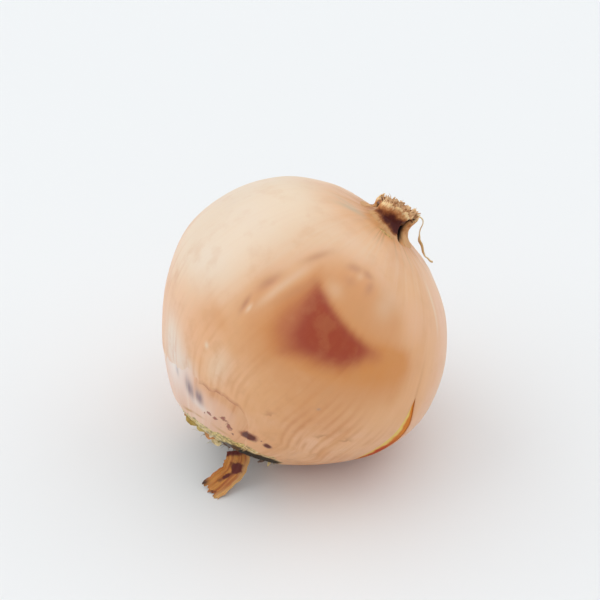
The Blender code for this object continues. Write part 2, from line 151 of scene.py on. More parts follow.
def spot(turn, run, at_turn, at_height, wide, long, lean=0.0):
    """A soft patch: the bell curve of the distance from its middle, measured over the skin in mm and
    divided by its width round the onion and its length along it, the two turned by `lean` degrees."""
    middle = run_at(at_height)
    across = np.radians(wrap(turn - at_turn)) * radius_at(run)
    along = (run - middle) * LENGTH
    c, s = math.cos(math.radians(lean)), math.sin(math.radians(lean))
    return np.exp(-(((across * c + along * s) / wide) ** 2 + ((along * c - across * s) / long) ** 2))


def spots(turn, run, rows):
    """The sum of several soft patches, each row its strength and then its place and size as for `spot`."""
    return sum(strength * spot(turn, run, *shape) for strength, *shape in rows)


def patch(turn, run, corners, soft):
    """How far inside a many-sided patch of skin a place is: 0 and 1 `soft` mm outside and inside its
    outline. The corners are (turn, height), and distances are taken on the skin unrolled about them."""
    turns, heights = np.array(corners).T
    centre = turns.mean()
    x = np.radians(wrap(turn - centre)) * radius_at(run)
    y = (run + 0 * turn) * LENGTH
    corner_x = np.radians(turns - centre) * radius_at(run_at(heights))
    corner_y = run_at(heights) * LENGTH
    inside = np.zeros(x.shape, bool)
    nearest = np.full(x.shape, np.inf)
    for ax, ay, bx, by in zip(corner_x, corner_y, np.roll(corner_x, -1), np.roll(corner_y, -1)):
        dx, dy = bx - ax, by - ay
        along = np.clip(((x - ax) * dx + (y - ay) * dy) / (dx**2 + dy**2), 0, 1)
        nearest = np.minimum(nearest, np.hypot(x - ax - along * dx, y - ay - along * dy))
        inside ^= ((ay > y) != (by > y)) & (x < dx * (y - ay) / (dy + 1e-9) + ax)
    return smooth_step(np.where(inside, nearest, -nearest), -soft, soft)


def split_turn(height):
    """The turn of the split's middle line at this height; above and below it runs straight on."""
    line = np.array(SPLIT)[::-1]
    return np.interp(height, line[:, 1], line[:, 0])


def split_half(height):
    """Half the width of the open split in mm at this height: a crescent, widest low down."""
    heights, halves = np.array(SPLIT_HALVES).T
    return np.interp(height, heights, halves)


def relief(turn, run):
    """Height in mm of the skin's own unevenness: slow swells, shallow flats along the meridians, fine
    ribs that gather into pleats at both ends, and the dents and swellings of DENTS."""
    angle = np.radians(turn)
    along = run * LENGTH
    height = height_at(run)
    body = smooth_step(along, 8, 26) * (1 - smooth_step(height, 33.5, 36.5))
    swell = 0.16 * ripples(angle, along / 18, 3, 7, (1, 4), (0.4, 1.2))
    flats = 0.07 * ripples(angle, along / 40, 4, 8, (5, 13), (0.1, 0.6))
    ribs = 0.008 * ripples(angle, along / 60, 5, 14, (28, 75), (0.0, 1.2))
    gather = smooth_step(height, 31, 37) + smooth_step(-height, 33, 38)
    folds = 0.07 * ripples(angle, along / 9, 6, 9, (13, 38), (0, 0.7))
    pleats = 0.05 * np.cos(17 * angle + 1.6 * np.sin(3 * angle)) + folds
    uneven = swell + flats + ribs + spots(turn, run, DENTS)
    return uneven * body + gather * pleats * (radius_at(run) > 5)


def axis_shift(height):
    """How far the bent axis lies aside at this height: a parabola."""
    bent = BEND * (height / 40) ** 2
    return np.array((bent * math.cos(BEND_TURN), bent * math.sin(BEND_TURN), 0.0))


# Where the axis passes the middle of the neck and of the root plate
NECK_AXIS, ROOT_AXIS = axis_shift(42.0), axis_shift(-36.5)


def set_ends(points):
    """Points of the onion's own frame, in mm, with its ends set. By a smooth step of depth the root end
    moves aside and rises in proportion to the distance across; by a smooth step of height the neck is
    drawn in, moved and slanted in proportion to the distance from its axis."""
    share = smooth_step(-points[..., 2], *ROOT_DEPTHS)
    rise = ROOT_TILT * (points[..., 0] * math.cos(ROOT_TILT_TURN) + points[..., 1] * math.sin(ROOT_TILT_TURN))
    aside = ROOT_SHIFT + 0 * rise
    move = np.stack([aside * math.cos(ROOT_SHIFT_TURN), aside * math.sin(ROOT_SHIFT_TURN), rise], axis=-1)
    neck_share = smooth_step(points[..., 2], *NECK_HEIGHTS)
    from_axis = points - NECK_AXIS
    across, along = from_axis[..., 0], from_axis[..., 1]
    c, s = math.cos(NECK_TURN), math.sin(NECK_TURN)
    rise = NECK_SLANT * (across * c + along * s) - NECK_DROP
    inwards = (NECK_SHIFT * c - NECK_NARROW * across, NECK_SHIFT * s - NECK_NARROW * along, rise)
    return points + share[..., None] * move + neck_share[..., None] * np.stack(inwards, axis=-1)


def onion_point(turn, run, lift=0.0):
    """Points of the onion's surface in the row frame, in metres: the outline at `run`, moved out along
    its normal by `lift` mm, turned about the axis, scaled by the lobes, bent, set off at the root end and
    leaned. Nothing goes lower than the table."""
    turn, run, lift = np.broadcast_arrays(*(np.asarray(v, float) for v in (turn, run, lift)))
    slope_r = np.interp(run, RUN, SLOPE[:, 0])
    slope_h = np.interp(run, RUN, SLOPE[:, 1])
    slope = np.hypot(slope_r, slope_h)
    radius = radius_at(run) + lift * slope_h / slope
    height = height_at(run) - lift * slope_r / slope
    angle = np.radians(turn)
    polar = np.arctan2(radius, height)
    scale = 1 + SHEAR * np.sin(2 * polar) * np.cos(angle - SHEAR_TURN)
    for count, size, phase in LOBES:
        scale = scale + size * np.sin(polar) ** 2 * np.cos(count * (angle - math.radians(phase)))
    height = height * scale
    bent = BEND * (height / 40) ** 2
    across = radius * scale * np.cos(angle) + bent * math.cos(BEND_TURN)
    along = radius * scale * np.sin(angle) + bent * math.sin(BEND_TURN)
    points = place(set_ends(np.stack([across, along, height], axis=-1)))
    points[..., 2] = np.maximum(points[..., 2], 0)
    return points


TO_ROW = np.array(Matrix.Rotation(HEADING, 3, "Z") @ Matrix.Rotation(LEAN, 3, "Y"))
UP = np.array((0.0, 0.0, 1.0))


def place(local):
    """Points of the onion's own frame, in mm, put into the row frame, in metres."""
    return np.asarray(local, float) @ TO_ROW.T * MM + np.array(BULB_CENTRE)


def outwards(angle):
    """In the onion's own frame, the level directions away from the axis at this angle and at right angles
    to it."""
    c, s = math.cos(angle), math.sin(angle)
    return np.array((c, s, 0.0)), np.array((-s, c, 0.0))


# ---------------------------------------------------------------- meshes
def grid_quads(rows, columns, round_columns, first=0, flip=False):
    """The quads of a grid of points, row after row; `round_columns` joins the last column to the first."""
    r, c = np.meshgrid(np.arange(rows - 1), np.arange(columns - (not round_columns)), indexing="ij")
    n = (c + 1) % columns
    below, above = r * columns, (r + 1) * columns
    quads = np.stack([below + c, below + n, above + n, above + c], axis=-1).reshape(-1, 4) + first
    return quads[:, ::-1] if flip else quads


def make(name, points, faces, material, node, marks=None, uv=None):
    """A finished piece: its mesh, vertex marks, material and what it stands for."""
    mesh = bpy.data.meshes.new(name)
    mesh.from_pydata(np.asarray(points).tolist(), [], [list(f) for f in faces])
    for mark, values in (marks or {}).items():
        layer = mesh.attributes.new(mark, "FLOAT", "POINT")
        layer.data.foreach_set("value", np.ravel(values).astype(np.float32))
    if uv is not None:
        layer = mesh.uv_layers.new(name="skin_map")
        corner = np.zeros(len(mesh.loops), np.int32)
        mesh.loops.foreach_get("vertex_index", corner)
        layer.data.foreach_set("uv", np.asarray(uv, np.float32)[corner].ravel())
    mesh.materials.append(material)
    mesh.shade_smooth()
    mesh.set_sharp_from_angle(angle=math.radians(55))
    piece = bpy.data.objects.new(name, mesh)
    bpy.context.scene.collection.objects.link(piece)
    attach(piece, "root")
    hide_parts(node)


def shell(outer, inner, round_columns=False):
    """(points, faces) of a closed sheet between two grids of points of the same size."""
    rows, columns = outer.shape[:2]
    count = rows * columns
    index = np.arange(count).reshape(rows, columns)
    faces = [
        grid_quads(rows, columns, round_columns),
        grid_quads(rows, columns, round_columns, count, flip=True),
    ]
    borders = [(index[0], False), (index[-1], True)]
    if not round_columns:
        borders += [(index[:, 0], True), (index[:, -1], False)]
    for border, flip in borders:
        if round_columns:
            border = np.append(border, border[0])
        a, b = border[:-1], border[1:]
        side = np.stack([a, a + count, b + count, b], axis=-1)
        faces.append(side[:, ::-1] if flip else side)
    return np.concatenate([outer.reshape(-1, 3), inner.reshape(-1, 3)]), np.concatenate(faces)


def on_both(values, shape):
    """One value for each point of a sheet: the values on one face, and the same on the other."""
    return np.tile(np.ravel(np.broadcast_to(values, shape)), 2)


def sheet_map(across, along, shape):
    """The skin map of a sheet, the same on both faces."""
    return np.stack([on_both(across, shape), on_both(along, shape)], axis=-1)


def frames_along(path):
    """(direction, side, other side) unit vectors at each point of a path."""
    along = np.gradient(path, axis=0)
    along /= np.linalg.norm(along, axis=1, keepdims=True)
    side = np.cross(along, (0.31, 0.87, 0.21))
    side /= np.linalg.norm(side, axis=1, keepdims=True)
    return along, side, np.cross(along, side)


def tube(path, radii, sides):
    """(points, faces) of a closed tube: circles of the given radii, square to the path."""
    _, side, other = frames_along(path)
    angles = np.linspace(0, 2 * math.pi, sides, endpoint=False)
    ring = side[:, None] * np.cos(angles)[:, None] + other[:, None] * np.sin(angles)[:, None]
    points = path[:, None] + ring * np.asarray(radii)[:, None, None]
    rows = len(path)
    faces = grid_quads(rows, sides, True).tolist()
    faces.append(list(range(sides))[::-1])
    faces.append(list(range((rows - 1) * sides, rows * sides)))
    return points.reshape(-1, 3), faces


def join(parts):
    """(points, faces, part number of each point) of many (points, faces) put together."""
    points, faces, number = [], [], []
    first = 0
    for count, (p, f) in enumerate(parts):
        points.append(p)
        faces += [[v + first for v in face] for face in f]
        number.append(np.full(len(p), count))
        first += len(p)
    return np.concatenate(points), faces, np.concatenate(number)


# ---------------------------------------------------------------- materials
def group(name, inputs, outputs):
    """An empty shader node group with these sockets: (its tree, its input node, its output node)."""
    tree = bpy.data.node_groups.new(name, "ShaderNodeTree")
    kinds = {"value": "NodeSocketFloat", "vector": "NodeSocketVector"}
    for socket, kind in inputs:
        tree.interface.new_socket(name=socket, in_out="INPUT", socket_type=kinds[kind])
    for socket, kind in outputs:
        tree.interface.new_socket(name=socket, in_out="OUTPUT", socket_type=kinds[kind])
    return tree, tree.nodes.new("NodeGroupInput"), tree.nodes.new("NodeGroupOutput")


class Wires:
    """Short ways to add and join nodes in one tree. `mark` reads a vertex mark of the piece, and `fade` maps
    a value by a smooth step from one range to another."""

    def __init__(self, tree):
        self.tree = tree

    def node(self, kind, **settings):
        made = self.tree.nodes.new(kind)
        for key, value in settings.items():
            setattr(made, key, value)
        return made

    def put(self, socket, value):
        if isinstance(value, bpy.types.NodeSocket):
            self.tree.links.new(value, socket)
        else:
            socket.default_value = value

    def mark(self, name):
        return self.node("ShaderNodeAttribute", attribute_name=name).outputs["Fac"]

    def math(self, operation, a, b=None, clamp=False):
        made = self.node("ShaderNodeMath", operation=operation, use_clamp=clamp)
        self.put(made.inputs[0], a)
        if b is not None:
            self.put(made.inputs[1], b)
        return made.outputs[0]

    def times(self, a, b, clamp=False):
        return self.math("MULTIPLY", a, b, clamp)

    def plus(self, a, b, clamp=False):
        return self.math("ADD", a, b, clamp)

    def uneven(self, value, noise, amount):
        """The value with the noise, less its middle of 0.5, added `amount` times."""
        return self.plus(value, self.times(self.math("SUBTRACT", noise, 0.5), amount))

    def fade(self, value, low, high, out_low=0.0, out_high=1.0):
        made = self.node("ShaderNodeMapRange", interpolation_type="SMOOTHSTEP")
        limits = {"From Min": low, "From Max": high, "To Min": out_low, "To Max": out_high}
        self.put(made.inputs["Value"], value)
        for socket, limit in limits.items():
            made.inputs[socket].default_value = limit
        return made.outputs["Result"]

    def mix(self, amount, a, b):
        made = self.node("ShaderNodeMix", data_type="RGBA")
        self.put(made.inputs["Factor"], amount)
        self.put(made.inputs[6], a if isinstance(a, bpy.types.NodeSocket) else (*a, 1.0))
        self.put(made.inputs[7], b if isinstance(b, bpy.types.NodeSocket) else (*b, 1.0))
        return made.outputs[2]

    def noise(self, vector, scale, detail, rough=0.55):
        made = self.node("ShaderNodeTexNoise")
        self.put(made.inputs["Vector"], vector)
        made.inputs["Scale"].default_value = scale
        made.inputs["Detail"].default_value = detail
        made.inputs["Roughness"].default_value = rough
        return made.outputs["Fac"]

    def cloud(self, scale, detail):
        """Noise fixed in the piece's own space."""
        return self.noise(self.node("ShaderNodeTexCoord").outputs["Object"], scale, detail)


def stretched(wires, vector, scale):
    """The coordinates multiplied by a scale for each direction."""
    made = wires.node("ShaderNodeMapping")
    wires.put(made.inputs["Vector"], vector)
    made.inputs["Scale"].default_value = scale
    return made.outputs["Vector"]


def build_grain():
    """Streaks that run from root to neck, in three sizes, and a few broken brown veins."""
    sizes = ("Broad", "Streaks", "Fibres", "Veins")
    tree, given, out = group("skin_grain", [("Map", "vector")], [(size, "value") for size in sizes])
    w = Wires(tree)
    skin_map = given.outputs["Map"]
    w.put(out.inputs["Broad"], w.noise(stretched(w, skin_map, (14, 1.6, 1)), 1.0, 4))
    w.put(out.inputs["Streaks"], w.noise(stretched(w, skin_map, (90, 3.0, 1)), 1.0, 4, 0.6))
    w.put(out.inputs["Fibres"], w.noise(stretched(w, skin_map, (420, 9, 1)), 1.0, 2))
    parts = w.node("ShaderNodeSeparateXYZ")
    w.put(parts.inputs[0], skin_map)
    drift = w.noise(stretched(w, skin_map, (7, 2.5, 1)), 1.0, 1)
    place_round = w.plus(w.times(parts.outputs[0], 96), w.times(drift, 2.0))
    cells = w.node("ShaderNodeTexVoronoi", voronoi_dimensions="1D", feature="DISTANCE_TO_EDGE")
    w.put(cells.inputs["W"], place_round)
    cells.inputs["Scale"].default_value = 1.0
    line = w.fade(cells.outputs["Distance"], 0.0, 0.4, 1.0, 0.0)
    broken = w.fade(w.noise(stretched(w, skin_map, (34, 10, 1)), 1.0, 2), 0.44, 0.64)
    w.put(out.inputs["Veins"], w.times(line, broken))
    return tree


GRAIN = build_grain()


def build_dash():
    """A soft streak fixed in space: e to the minus square of the distance from its middle, measured in
    half lengths along it and half widths across it."""
    inputs = [("Middle", "vector"), ("Along", "vector"), ("Width", "value"), ("Stretch", "value")]
    tree, given, out = group("dash", inputs, [("Amount", "value")])
    w = Wires(tree)
    place_on = w.node("ShaderNodeTexCoord").outputs["Object"]
    away = w.node("ShaderNodeVectorMath", operation="SUBTRACT")
    w.put(away.inputs[0], place_on)
    w.put(away.inputs[1], given.outputs["Middle"])
    along = w.node("ShaderNodeVectorMath", operation="DOT_PRODUCT")
    w.put(along.inputs[0], away.outputs[0])
    w.put(along.inputs[1], given.outputs["Along"])
    total = w.node("ShaderNodeVectorMath", operation="DOT_PRODUCT")
    w.put(total.inputs[0], away.outputs[0])
    w.put(total.inputs[1], away.outputs[0])
    square = w.times(along.outputs["Value"], along.outputs["Value"])
    square = w.times(square, given.outputs["Stretch"])
    square = w.plus(square, w.times(total.outputs["Value"], given.outputs["Width"]))
    w.put(out.inputs["Amount"], w.math("EXPONENT", w.times(square, -1.0)))
    return tree


DASH = build_dash()


def surface(name, roughness, coat=0.0, coat_roughness=0.3, scatter=0.0, shine=0.5):
    """A material with a Principled surface, and its wires."""
    made = bpy.data.materials.new(name)
    made.use_nodes = True
    shader = made.node_tree.nodes["Principled BSDF"]
    shader.inputs["Roughness"].default_value = roughness
    shader.inputs["Coat Weight"].default_value = coat
    shader.inputs["Coat Roughness"].default_value = coat_roughness
    shader.inputs["Specular IOR Level"].default_value = shine
    if scatter:
        shader.inputs["Subsurface Weight"].default_value = scatter
        shader.inputs["Subsurface Radius"].default_value = (1.0, 0.45, 0.25)
        shader.inputs["Subsurface Scale"].default_value = 0.002
    return made, shader, Wires(made.node_tree)


def dash(w, start, end, half_width, lift):
    """The amount of a soft streak from one (turn, height) on the skin to another, half_width mm wide."""
    ends = [(turn, run_at(height)) for turn, height in (start, end)]
    a, b = (onion_point(turn, run, relief(turn, run) + lift) for turn, run in ends)
    half = np.linalg.norm(b - a) / 2
    wide = half_width * MM
    made = w.node("ShaderNodeGroup", node_tree=DASH)
    made.inputs["Middle"].default_value = (a + b) / 2
    made.inputs["Along"].default_value = (b - a) / 2 / half**2
    made.inputs["Width"].default_value = 1 / wide**2
    made.inputs["Stretch"].default_value = 1 - (half / wide) ** 2
    return made.outputs["Amount"]


def dashes(w, lines, lift=0.0):
    """The strongest of several soft streaks, each (start, end, half width, strength)."""
    total = None
    for start, end, half_width, strength in lines:
        one = w.times(dash(w, start, end, half_width, lift), strength)
        total = one if total is None else w.math("MAXIMUM", total, one)
    return total


def grain_of(w):
    """The grain group, fed by the piece's own skin map: its outputs by name."""
    made = w.node("ShaderNodeGroup", node_tree=GRAIN)
    w.put(made.inputs["Map"], w.node("ShaderNodeUVMap", uv_map="skin_map").outputs["UV"])
    return made.outputs


def bump(w, shader, height, strength, distance):
    """Fine relief from this height, with no change to the mesh."""
    made = w.node("ShaderNodeBump")
    made.inputs["Strength"].default_value = strength
    made.inputs["Distance"].default_value = distance
    w.put(made.inputs["Height"], height)
    w.put(shader.inputs["Normal"], made.outputs["Normal"])


PEACH = (0.84, 0.42, 0.19)
PALE_AND_SHEEN = (0.86, 0.63, 0.44)
COPPER_AND_DARK_REFLECTION = (0.37, 0.052, 0.016)
RUST = (0.52, 0.135, 0.035)
TAN = (0.73, 0.31, 0.112)
OCHRE = (0.69, 0.245, 0.045)
PINK_AND_SHEEN = (0.85, 0.455, 0.27)
BROWN = (0.11, 0.015, 0.005)
MAROON = (0.075, 0.010, 0.007)
HOLLOW_SHADE = (0.008, 0.005, 0.005)
# The tints that marks lay on the outer skin, each over the ones before it; pale and pink are partly painted
# sheen and copper partly a painted dark reflection
TINTS = (("pale", PALE_AND_SHEEN), ("pink_and_sheen", PINK_AND_SHEEN), ("tan", TAN), ("ochre", OCHRE), ("rust", RUST), ("copper_and_dark_reflection", COPPER_AND_DARK_REFLECTION))


def crusted(w, colour, fine, grit, light, dark):
    """The colour with the dry crust of the mark `straw`: flecks of two colours and a few pale chips."""
    crust = w.uneven(w.mark("straw"), fine, 1.2)
    crust = w.times(w.fade(crust, 0.3, 0.8, 0.0, 0.9), w.fade(w.mark("straw"), 0.0, 0.3))
    flecks = w.mix(w.fade(grit, 0.47, 0.6), light, dark)
    return w.mix(crust, colour, w.mix(w.fade(grit, 0.44, 0.36), flecks, (0.80, 0.66, 0.42)))


def blotched(w, colour, fine, lines, lift=0.0):
    """The colour with dark blotches in their rusty halos, and how far inside a blotch a place is."""
    near_it = dashes(w, lines, lift)
    ragged = w.uneven(near_it, fine, 0.9)
    near_it = w.fade(near_it, 0.04, 0.25)
    halo = w.times(w.fade(ragged, 0.08, 0.5), near_it)
    core = w.times(w.fade(ragged, 0.32, 0.8), near_it)
    return w.mix(core, w.mix(halo, colour, (0.42, 0.13, 0.045)), BROWN), core


def outer_skin_material():
    """Peach skin with broad streaks: the tints of its marks, among them painted sheen and a painted dark
    reflection, then veins and stains low down, listed streaks with painted highlights and painted shade among
    them, blotches, painted shade low down by the table, and last the torn edge, the split's lip with its
    painted shade, the neck and the painted shade of the hollows."""
    made, shader, w = surface("outer_dry_skin", 0.42, coat_roughness=0.5, scatter=0.12, shine=0.35)
    grain = grain_of(w)
    cloud = w.cloud(48, 4)
    fine = w.cloud(420, 4)
    grit = w.cloud(1100, 3)
    colour = w.mix(w.fade(grain["Broad"], 0.36, 0.72, 0.0, 0.4), PEACH, OCHRE)
    colour = w.mix(w.fade(cloud, 0.42, 0.72, 0.0, 0.55), colour, PINK_AND_SHEEN)
    colour = w.mix(w.fade(grain["Streaks"], 0.45, 0.8, 0.0, 0.22), colour, PALE_AND_SHEEN)
    uneven = w.math("SUBTRACT", w.plus(w.times(cloud, 0.5), w.times(grain["Streaks"], 0.5)), 0.5)
    # Pale, white and pink tints are partly painted sheen; copper is partly a painted dark reflection
    for mark, tint in TINTS:
        ragged = w.plus(w.mark(mark), w.times(uneven, 0.45))
        colour = w.mix(w.fade(ragged, 0.06, 0.94), colour, tint)
    # Green-grey, partly painted shade of a sunken place near the neck
    colour = w.mix(w.times(w.mark("green_and_shade"), 0.7), colour, (0.50, 0.39, 0.24))
    # Whitish patches, partly painted sheen on the left side
    colour = w.mix(w.times(w.mark("white_and_sheen"), 0.85), colour, (0.80, 0.66, 0.56))
    mottle = w.cloud(170, 4)
    light = w.times(w.fade(mottle, 0.5, 0.75, 0.0, 0.55), w.mark("veined"), clamp=True)
    colour = w.mix(light, colour, (0.88, 0.50, 0.30))
    shade = w.times(w.fade(mottle, 0.5, 0.28, 0.0, 0.55), w.plus(w.mark("veined"), 0.25), clamp=True)
    colour = w.mix(shade, colour, (0.66, 0.28, 0.10))
    colour = crusted(w, colour, fine, grit, (0.70, 0.46, 0.14), (0.30, 0.17, 0.04))
    veins = w.times(w.times(grain["Veins"], w.mark("veined")), 0.62, clamp=True)
    colour = w.mix(veins, colour, (0.62, 0.20, 0.04))
    stain = w.times(w.fade(grain["Streaks"], 0.48, 0.68, 0.0, 0.7), w.mark("veined"), clamp=True)
    colour = w.mix(stain, colour, (0.70, 0.25, 0.05))
    fibre = w.times(w.fade(grain["Fibres"], 0.5, 0.75), w.mark("veined"))
    colour = w.mix(w.times(fibre, 0.3, clamp=True), colour, (0.62, 0.26, 0.10))
    ripple = w.math("ABSOLUTE", w.math("SUBTRACT", w.cloud(110, 3), 0.5))
    scar = w.times(w.fade(ripple, 0.0, 0.05, 0.75, 0.0), w.mark("scarred"))
    colour = w.mix(scar, colour, (0.52, 0.18, 0.045))
    # Brown smudges, partly painted shade beside the dents and the bump
    colour = w.mix(dashes(w, SMUDGES_AND_SHADE), colour, (0.54, 0.22, 0.10))
    # Painted highlights on the skin
    colour = w.mix(dashes(w, PAINTED_HIGHLIGHTS), colour, (0.86, 0.64, 0.45))
    colour = w.mix(dashes(w, SMEARS), colour, (0.33, 0.24, 0.26))
    colour, blotch = blotched(w, colour, fine, BLOTCHES)
    # Painted shade: darker red-brown towards the table
    colour = w.mix(w.times(w.mark("under"), 0.75), colour, (0.58, 0.17, 0.045))
    torn_edge = w.times(w.mark("edge"), w.fade(fine, 0.3, 0.6, 0.45, 0.9))
    colour = w.mix(torn_edge, colour, (0.44, 0.14, 0.05))
    # The split's lip: painted shade on the right edge, and the seam's own line above
    colour = w.mix(w.times(w.mark("lip"), 0.8), colour, (0.62, 0.22, 0.05))
    frayed = w.times(w.fade(grain["Streaks"], 0.48, 0.68), w.mark("frayed"))
    colour = w.mix(w.times(frayed, 0.6), colour, (0.52, 0.25, 0.08))
    neck = w.mix(w.fade(fine, 0.35, 0.7), (0.70, 0.38, 0.16), (0.50, 0.20, 0.07))
    colour = w.mix(w.mark("neck"), colour, neck)
    maroon = w.uneven(w.mark("maroon"), fine, 1.2)
    colour = w.mix(w.fade(maroon, 0.3, 0.8), colour, MAROON)
    # Painted shade: slots and the hollow edge under the rim nearly black
    colour = w.mix(w.mark("deep"), colour, HOLLOW_SHADE)
    w.put(shader.inputs["Base Color"], colour)
    spoiled = w.math("MAXIMUM", blotch, w.mark("deep"))
    dark = w.math("MAXIMUM", w.times(w.mark("copper_and_dark_reflection"), 0.75), spoiled, clamp=True)
    w.put(shader.inputs["Coat Weight"], w.fade(dark, 0.0, 1.0, 0.7, 0.0))
    rough = w.fade(grain["Streaks"], 0.3, 0.7, 0.38, 0.5)
    w.put(shader.inputs["Roughness"], w.math("MAXIMUM", rough, w.mark("deep")))
    height = w.plus(w.times(grain["Streaks"], 0.5), w.times(cloud, 0.5))
    bump(w, shader, height, 0.12, 0.0003)
    return made


# Streaks on the outer skin: (start, end, half width in mm, strength), each end a (turn, height)
# Brown smudges, some of them painted shade on the dark side of the dents and along the bump's arc
SMUDGES_AND_SHADE = (
    ((-147.4, 8.8), (-145.8, 14.8), 1.3, 0.8), ((-148.0, 6.0), (-146.8, 1.2), 0.7, 0.85),
    ((-128.5, 26.6), (-121.0, 28.1), 1.3, 0.6), ((-121.0, 28.2), (-113.5, 27.9), 1.2, 0.6),
    ((-113.5, 27.6), (-113.5, 24.5), 1.2, 0.55), ((-143.5, 20.6), (-139.0, 26.5), 1.1, 0.6),
    ((-139.5, 9.0), (-134.5, 20.0), 1.2, 0.4), ((-126.0, 24.6), (-120.0, 24.4), 1.5, 0.35),
)  # fmt: skip
# Painted highlights: pale streaks that stand for the sheen of the lights on the skin
PAINTED_HIGHLIGHTS = (
    ((-145.3, 5.0), (-145.0, 2.2), 0.6, 0.5), ((-130.0, 21.8), (-122.5, 20.0), 2.2, 0.25),
    ((-122.0, 26.9), (-118.5, 26.5), 1.2, 0.2), ((-60.0, 33.0), (-57.0, 26.0), 0.7, 0.8),
    ((-150.5, -12.0), (-149.5, -13.6), 0.7, 0.7), ((-143.5, 6.0), (-140.5, 20.0), 1.2, 0.5),
    ((-108.0, 25.4), (-96.0, 25.0), 4.5, 0.28),
)  # fmt: skip
SMEARS = (((-156.0, -23.8), (-156.3, -25.6), 1.2, 0.5), ((-102.4, -5.8), (-101.6, -5.0), 0.4, 0.35))
BLOTCHES = (
    ((-118.0, -28.9), (-108.0, -27.1), 1.5, 1.2), ((-103.8, -27.1), (-99.2, -27.7), 0.9, 1.1),
    ((-106.6, -26.9), (-105.4, -26.8), 0.5, 0.6), ((-20.0, -29.0), (-16.0, -31.0), 0.9, 0.7),
)  # fmt: skip


def inner_skin_material():
    """The paler skin under the torn patch, with purple smears, dark specks and the crust of the root rim."""
    made, shader, w = surface("inner_dry_skin", 0.4, coat=0.35, coat_roughness=0.3, scatter=0.15, shine=0.35)
    grain = grain_of(w)
    fine = w.cloud(420, 4)
    grit = w.cloud(1100, 3)
    colour = w.mix(w.fade(grain["Streaks"], 0.35, 0.7), (0.50, 0.13, 0.03), (0.62, 0.22, 0.05))
    bare = w.mix(w.fade(grain["Broad"], 0.38, 0.66), (0.80, 0.50, 0.35), (0.72, 0.40, 0.25))
    bare = w.mix(w.fade(grain["Streaks"], 0.45, 0.75, 0.0, 0.5), bare, (0.84, 0.64, 0.50))
    peach = w.mix(w.fade(grain["Streaks"], 0.4, 0.7), (0.76, 0.40, 0.20), (0.66, 0.29, 0.12))
    bare = w.mix(w.mark("peach"), bare, peach)
    bare = w.mix(w.times(w.mark("white_and_sheen"), 0.9), bare, (0.82, 0.72, 0.66))
    colour = w.mix(w.mark("bare"), colour, bare)
    purple = w.times(dashes(w, PURPLES, UNDER), w.fade(grain["Fibres"], 0.3, 0.6, 0.65, 1.0))
    colour = w.mix(purple, colour, (0.19, 0.125, 0.16))
    specks = dashes(w, SPECKS, UNDER)
    ragged = w.fade(w.uneven(specks, grit, 2.0), 0.3, 0.75, 0.0, 0.9)
    colour = w.mix(w.times(ragged, w.fade(specks, 0.05, 0.3)), colour, (0.30, 0.07, 0.04))
    colour = w.mix(dashes(w, OCHRE_LINES, UNDER), colour, (0.50, 0.24, 0.04))
    colour = crusted(w, colour, fine, grit, (0.66, 0.50, 0.13), (0.26, 0.18, 0.04))
    colour, _ = blotched(w, colour, fine, BLOTCHES[:2], UNDER)
    # Painted shade of the hollows and slots, nearly black
    colour = w.mix(w.mark("deep"), colour, (0.02, 0.010, 0.010))
    w.put(shader.inputs["Base Color"], colour)
    height = w.plus(w.times(grain["Streaks"], 0.6), w.times(grain["Fibres"], 0.4))
    bump(w, shader, height, 0.3, 0.0003)
    return made


# How far the inner skin lies off the outer one, in mm, and the streaks on it
UNDER = -0.3
PURPLES = (
    ((-156.5, -25.4), (-153.0, -29.2), 1.5, 1.0), ((-148.3, -25.8), (-145.6, -28.9), 1.4, 1.0),
    ((-168.0, -25.5), (-166.0, -27.5), 0.9, 0.4),
)  # fmt: skip
SPECKS = (
    ((-141.5, -29.4), (-137.0, -29.6), 0.6, 0.95), ((-136.5, -29.9), (-133.0, -29.5), 0.6, 1.05),
    ((-132.5, -28.2), (-127.0, -27.9), 1.0, 0.85), ((-127.2, -28.2), (-123.0, -30.4), 0.8, 1.1),
    ((-143.0, -30.6), (-141.5, -30.2), 0.45, 0.8), ((-122.0, -30.8), (-120.5, -31.6), 0.4, 0.8),
    ((-130.5, -31.0), (-128.5, -31.4), 0.5, 0.7),
)  # fmt: skip
OCHRE_LINES = (
    ((-165.0, -34.4), (-152.0, -33.0), 0.5, 0.95), ((-152.0, -33.0), (-143.0, -32.4), 0.4, 0.7),
    ((-134.0, -32.2), (-122.0, -32.6), 0.6, 0.5),
)  # fmt: skip


def split_material():
    made, shader, w = surface("skin_in_split", 0.7, scatter=0.1, shine=0.1)
    grain = grain_of(w)
    colour = w.mix(w.fade(grain["Streaks"], 0.35, 0.7), (0.78, 0.25, 0.035), (0.64, 0.17, 0.022))
    # Yellow partly painted light, red partly painted shade, over the skin's own orange
    colour = w.mix(w.mark("yellow"), colour, (0.82, 0.56, 0.16))
    colour = w.mix(w.mark("red"), colour, (0.52, 0.040, 0.008))
    w.put(shader.inputs["Base Color"], colour)
    bump(w, shader, grain["Streaks"], 0.4, 0.0003)
    return made


def plain_material(name, light, dark, scale, roughness):
    """Dry matter that varies from strand to strand (the mark `vary`) and along each strand."""
    made, shader, w = surface(name, roughness)
    cloud = w.cloud(scale, 4)
    amount = w.plus(w.times(w.mark("vary"), 0.7), w.times(w.fade(cloud, 0.35, 0.68), 0.45), clamp=True)
    w.put(shader.inputs["Base Color"], w.mix(amount, light, dark))
    bump(w, shader, cloud, 0.4, 0.0003)
    return made


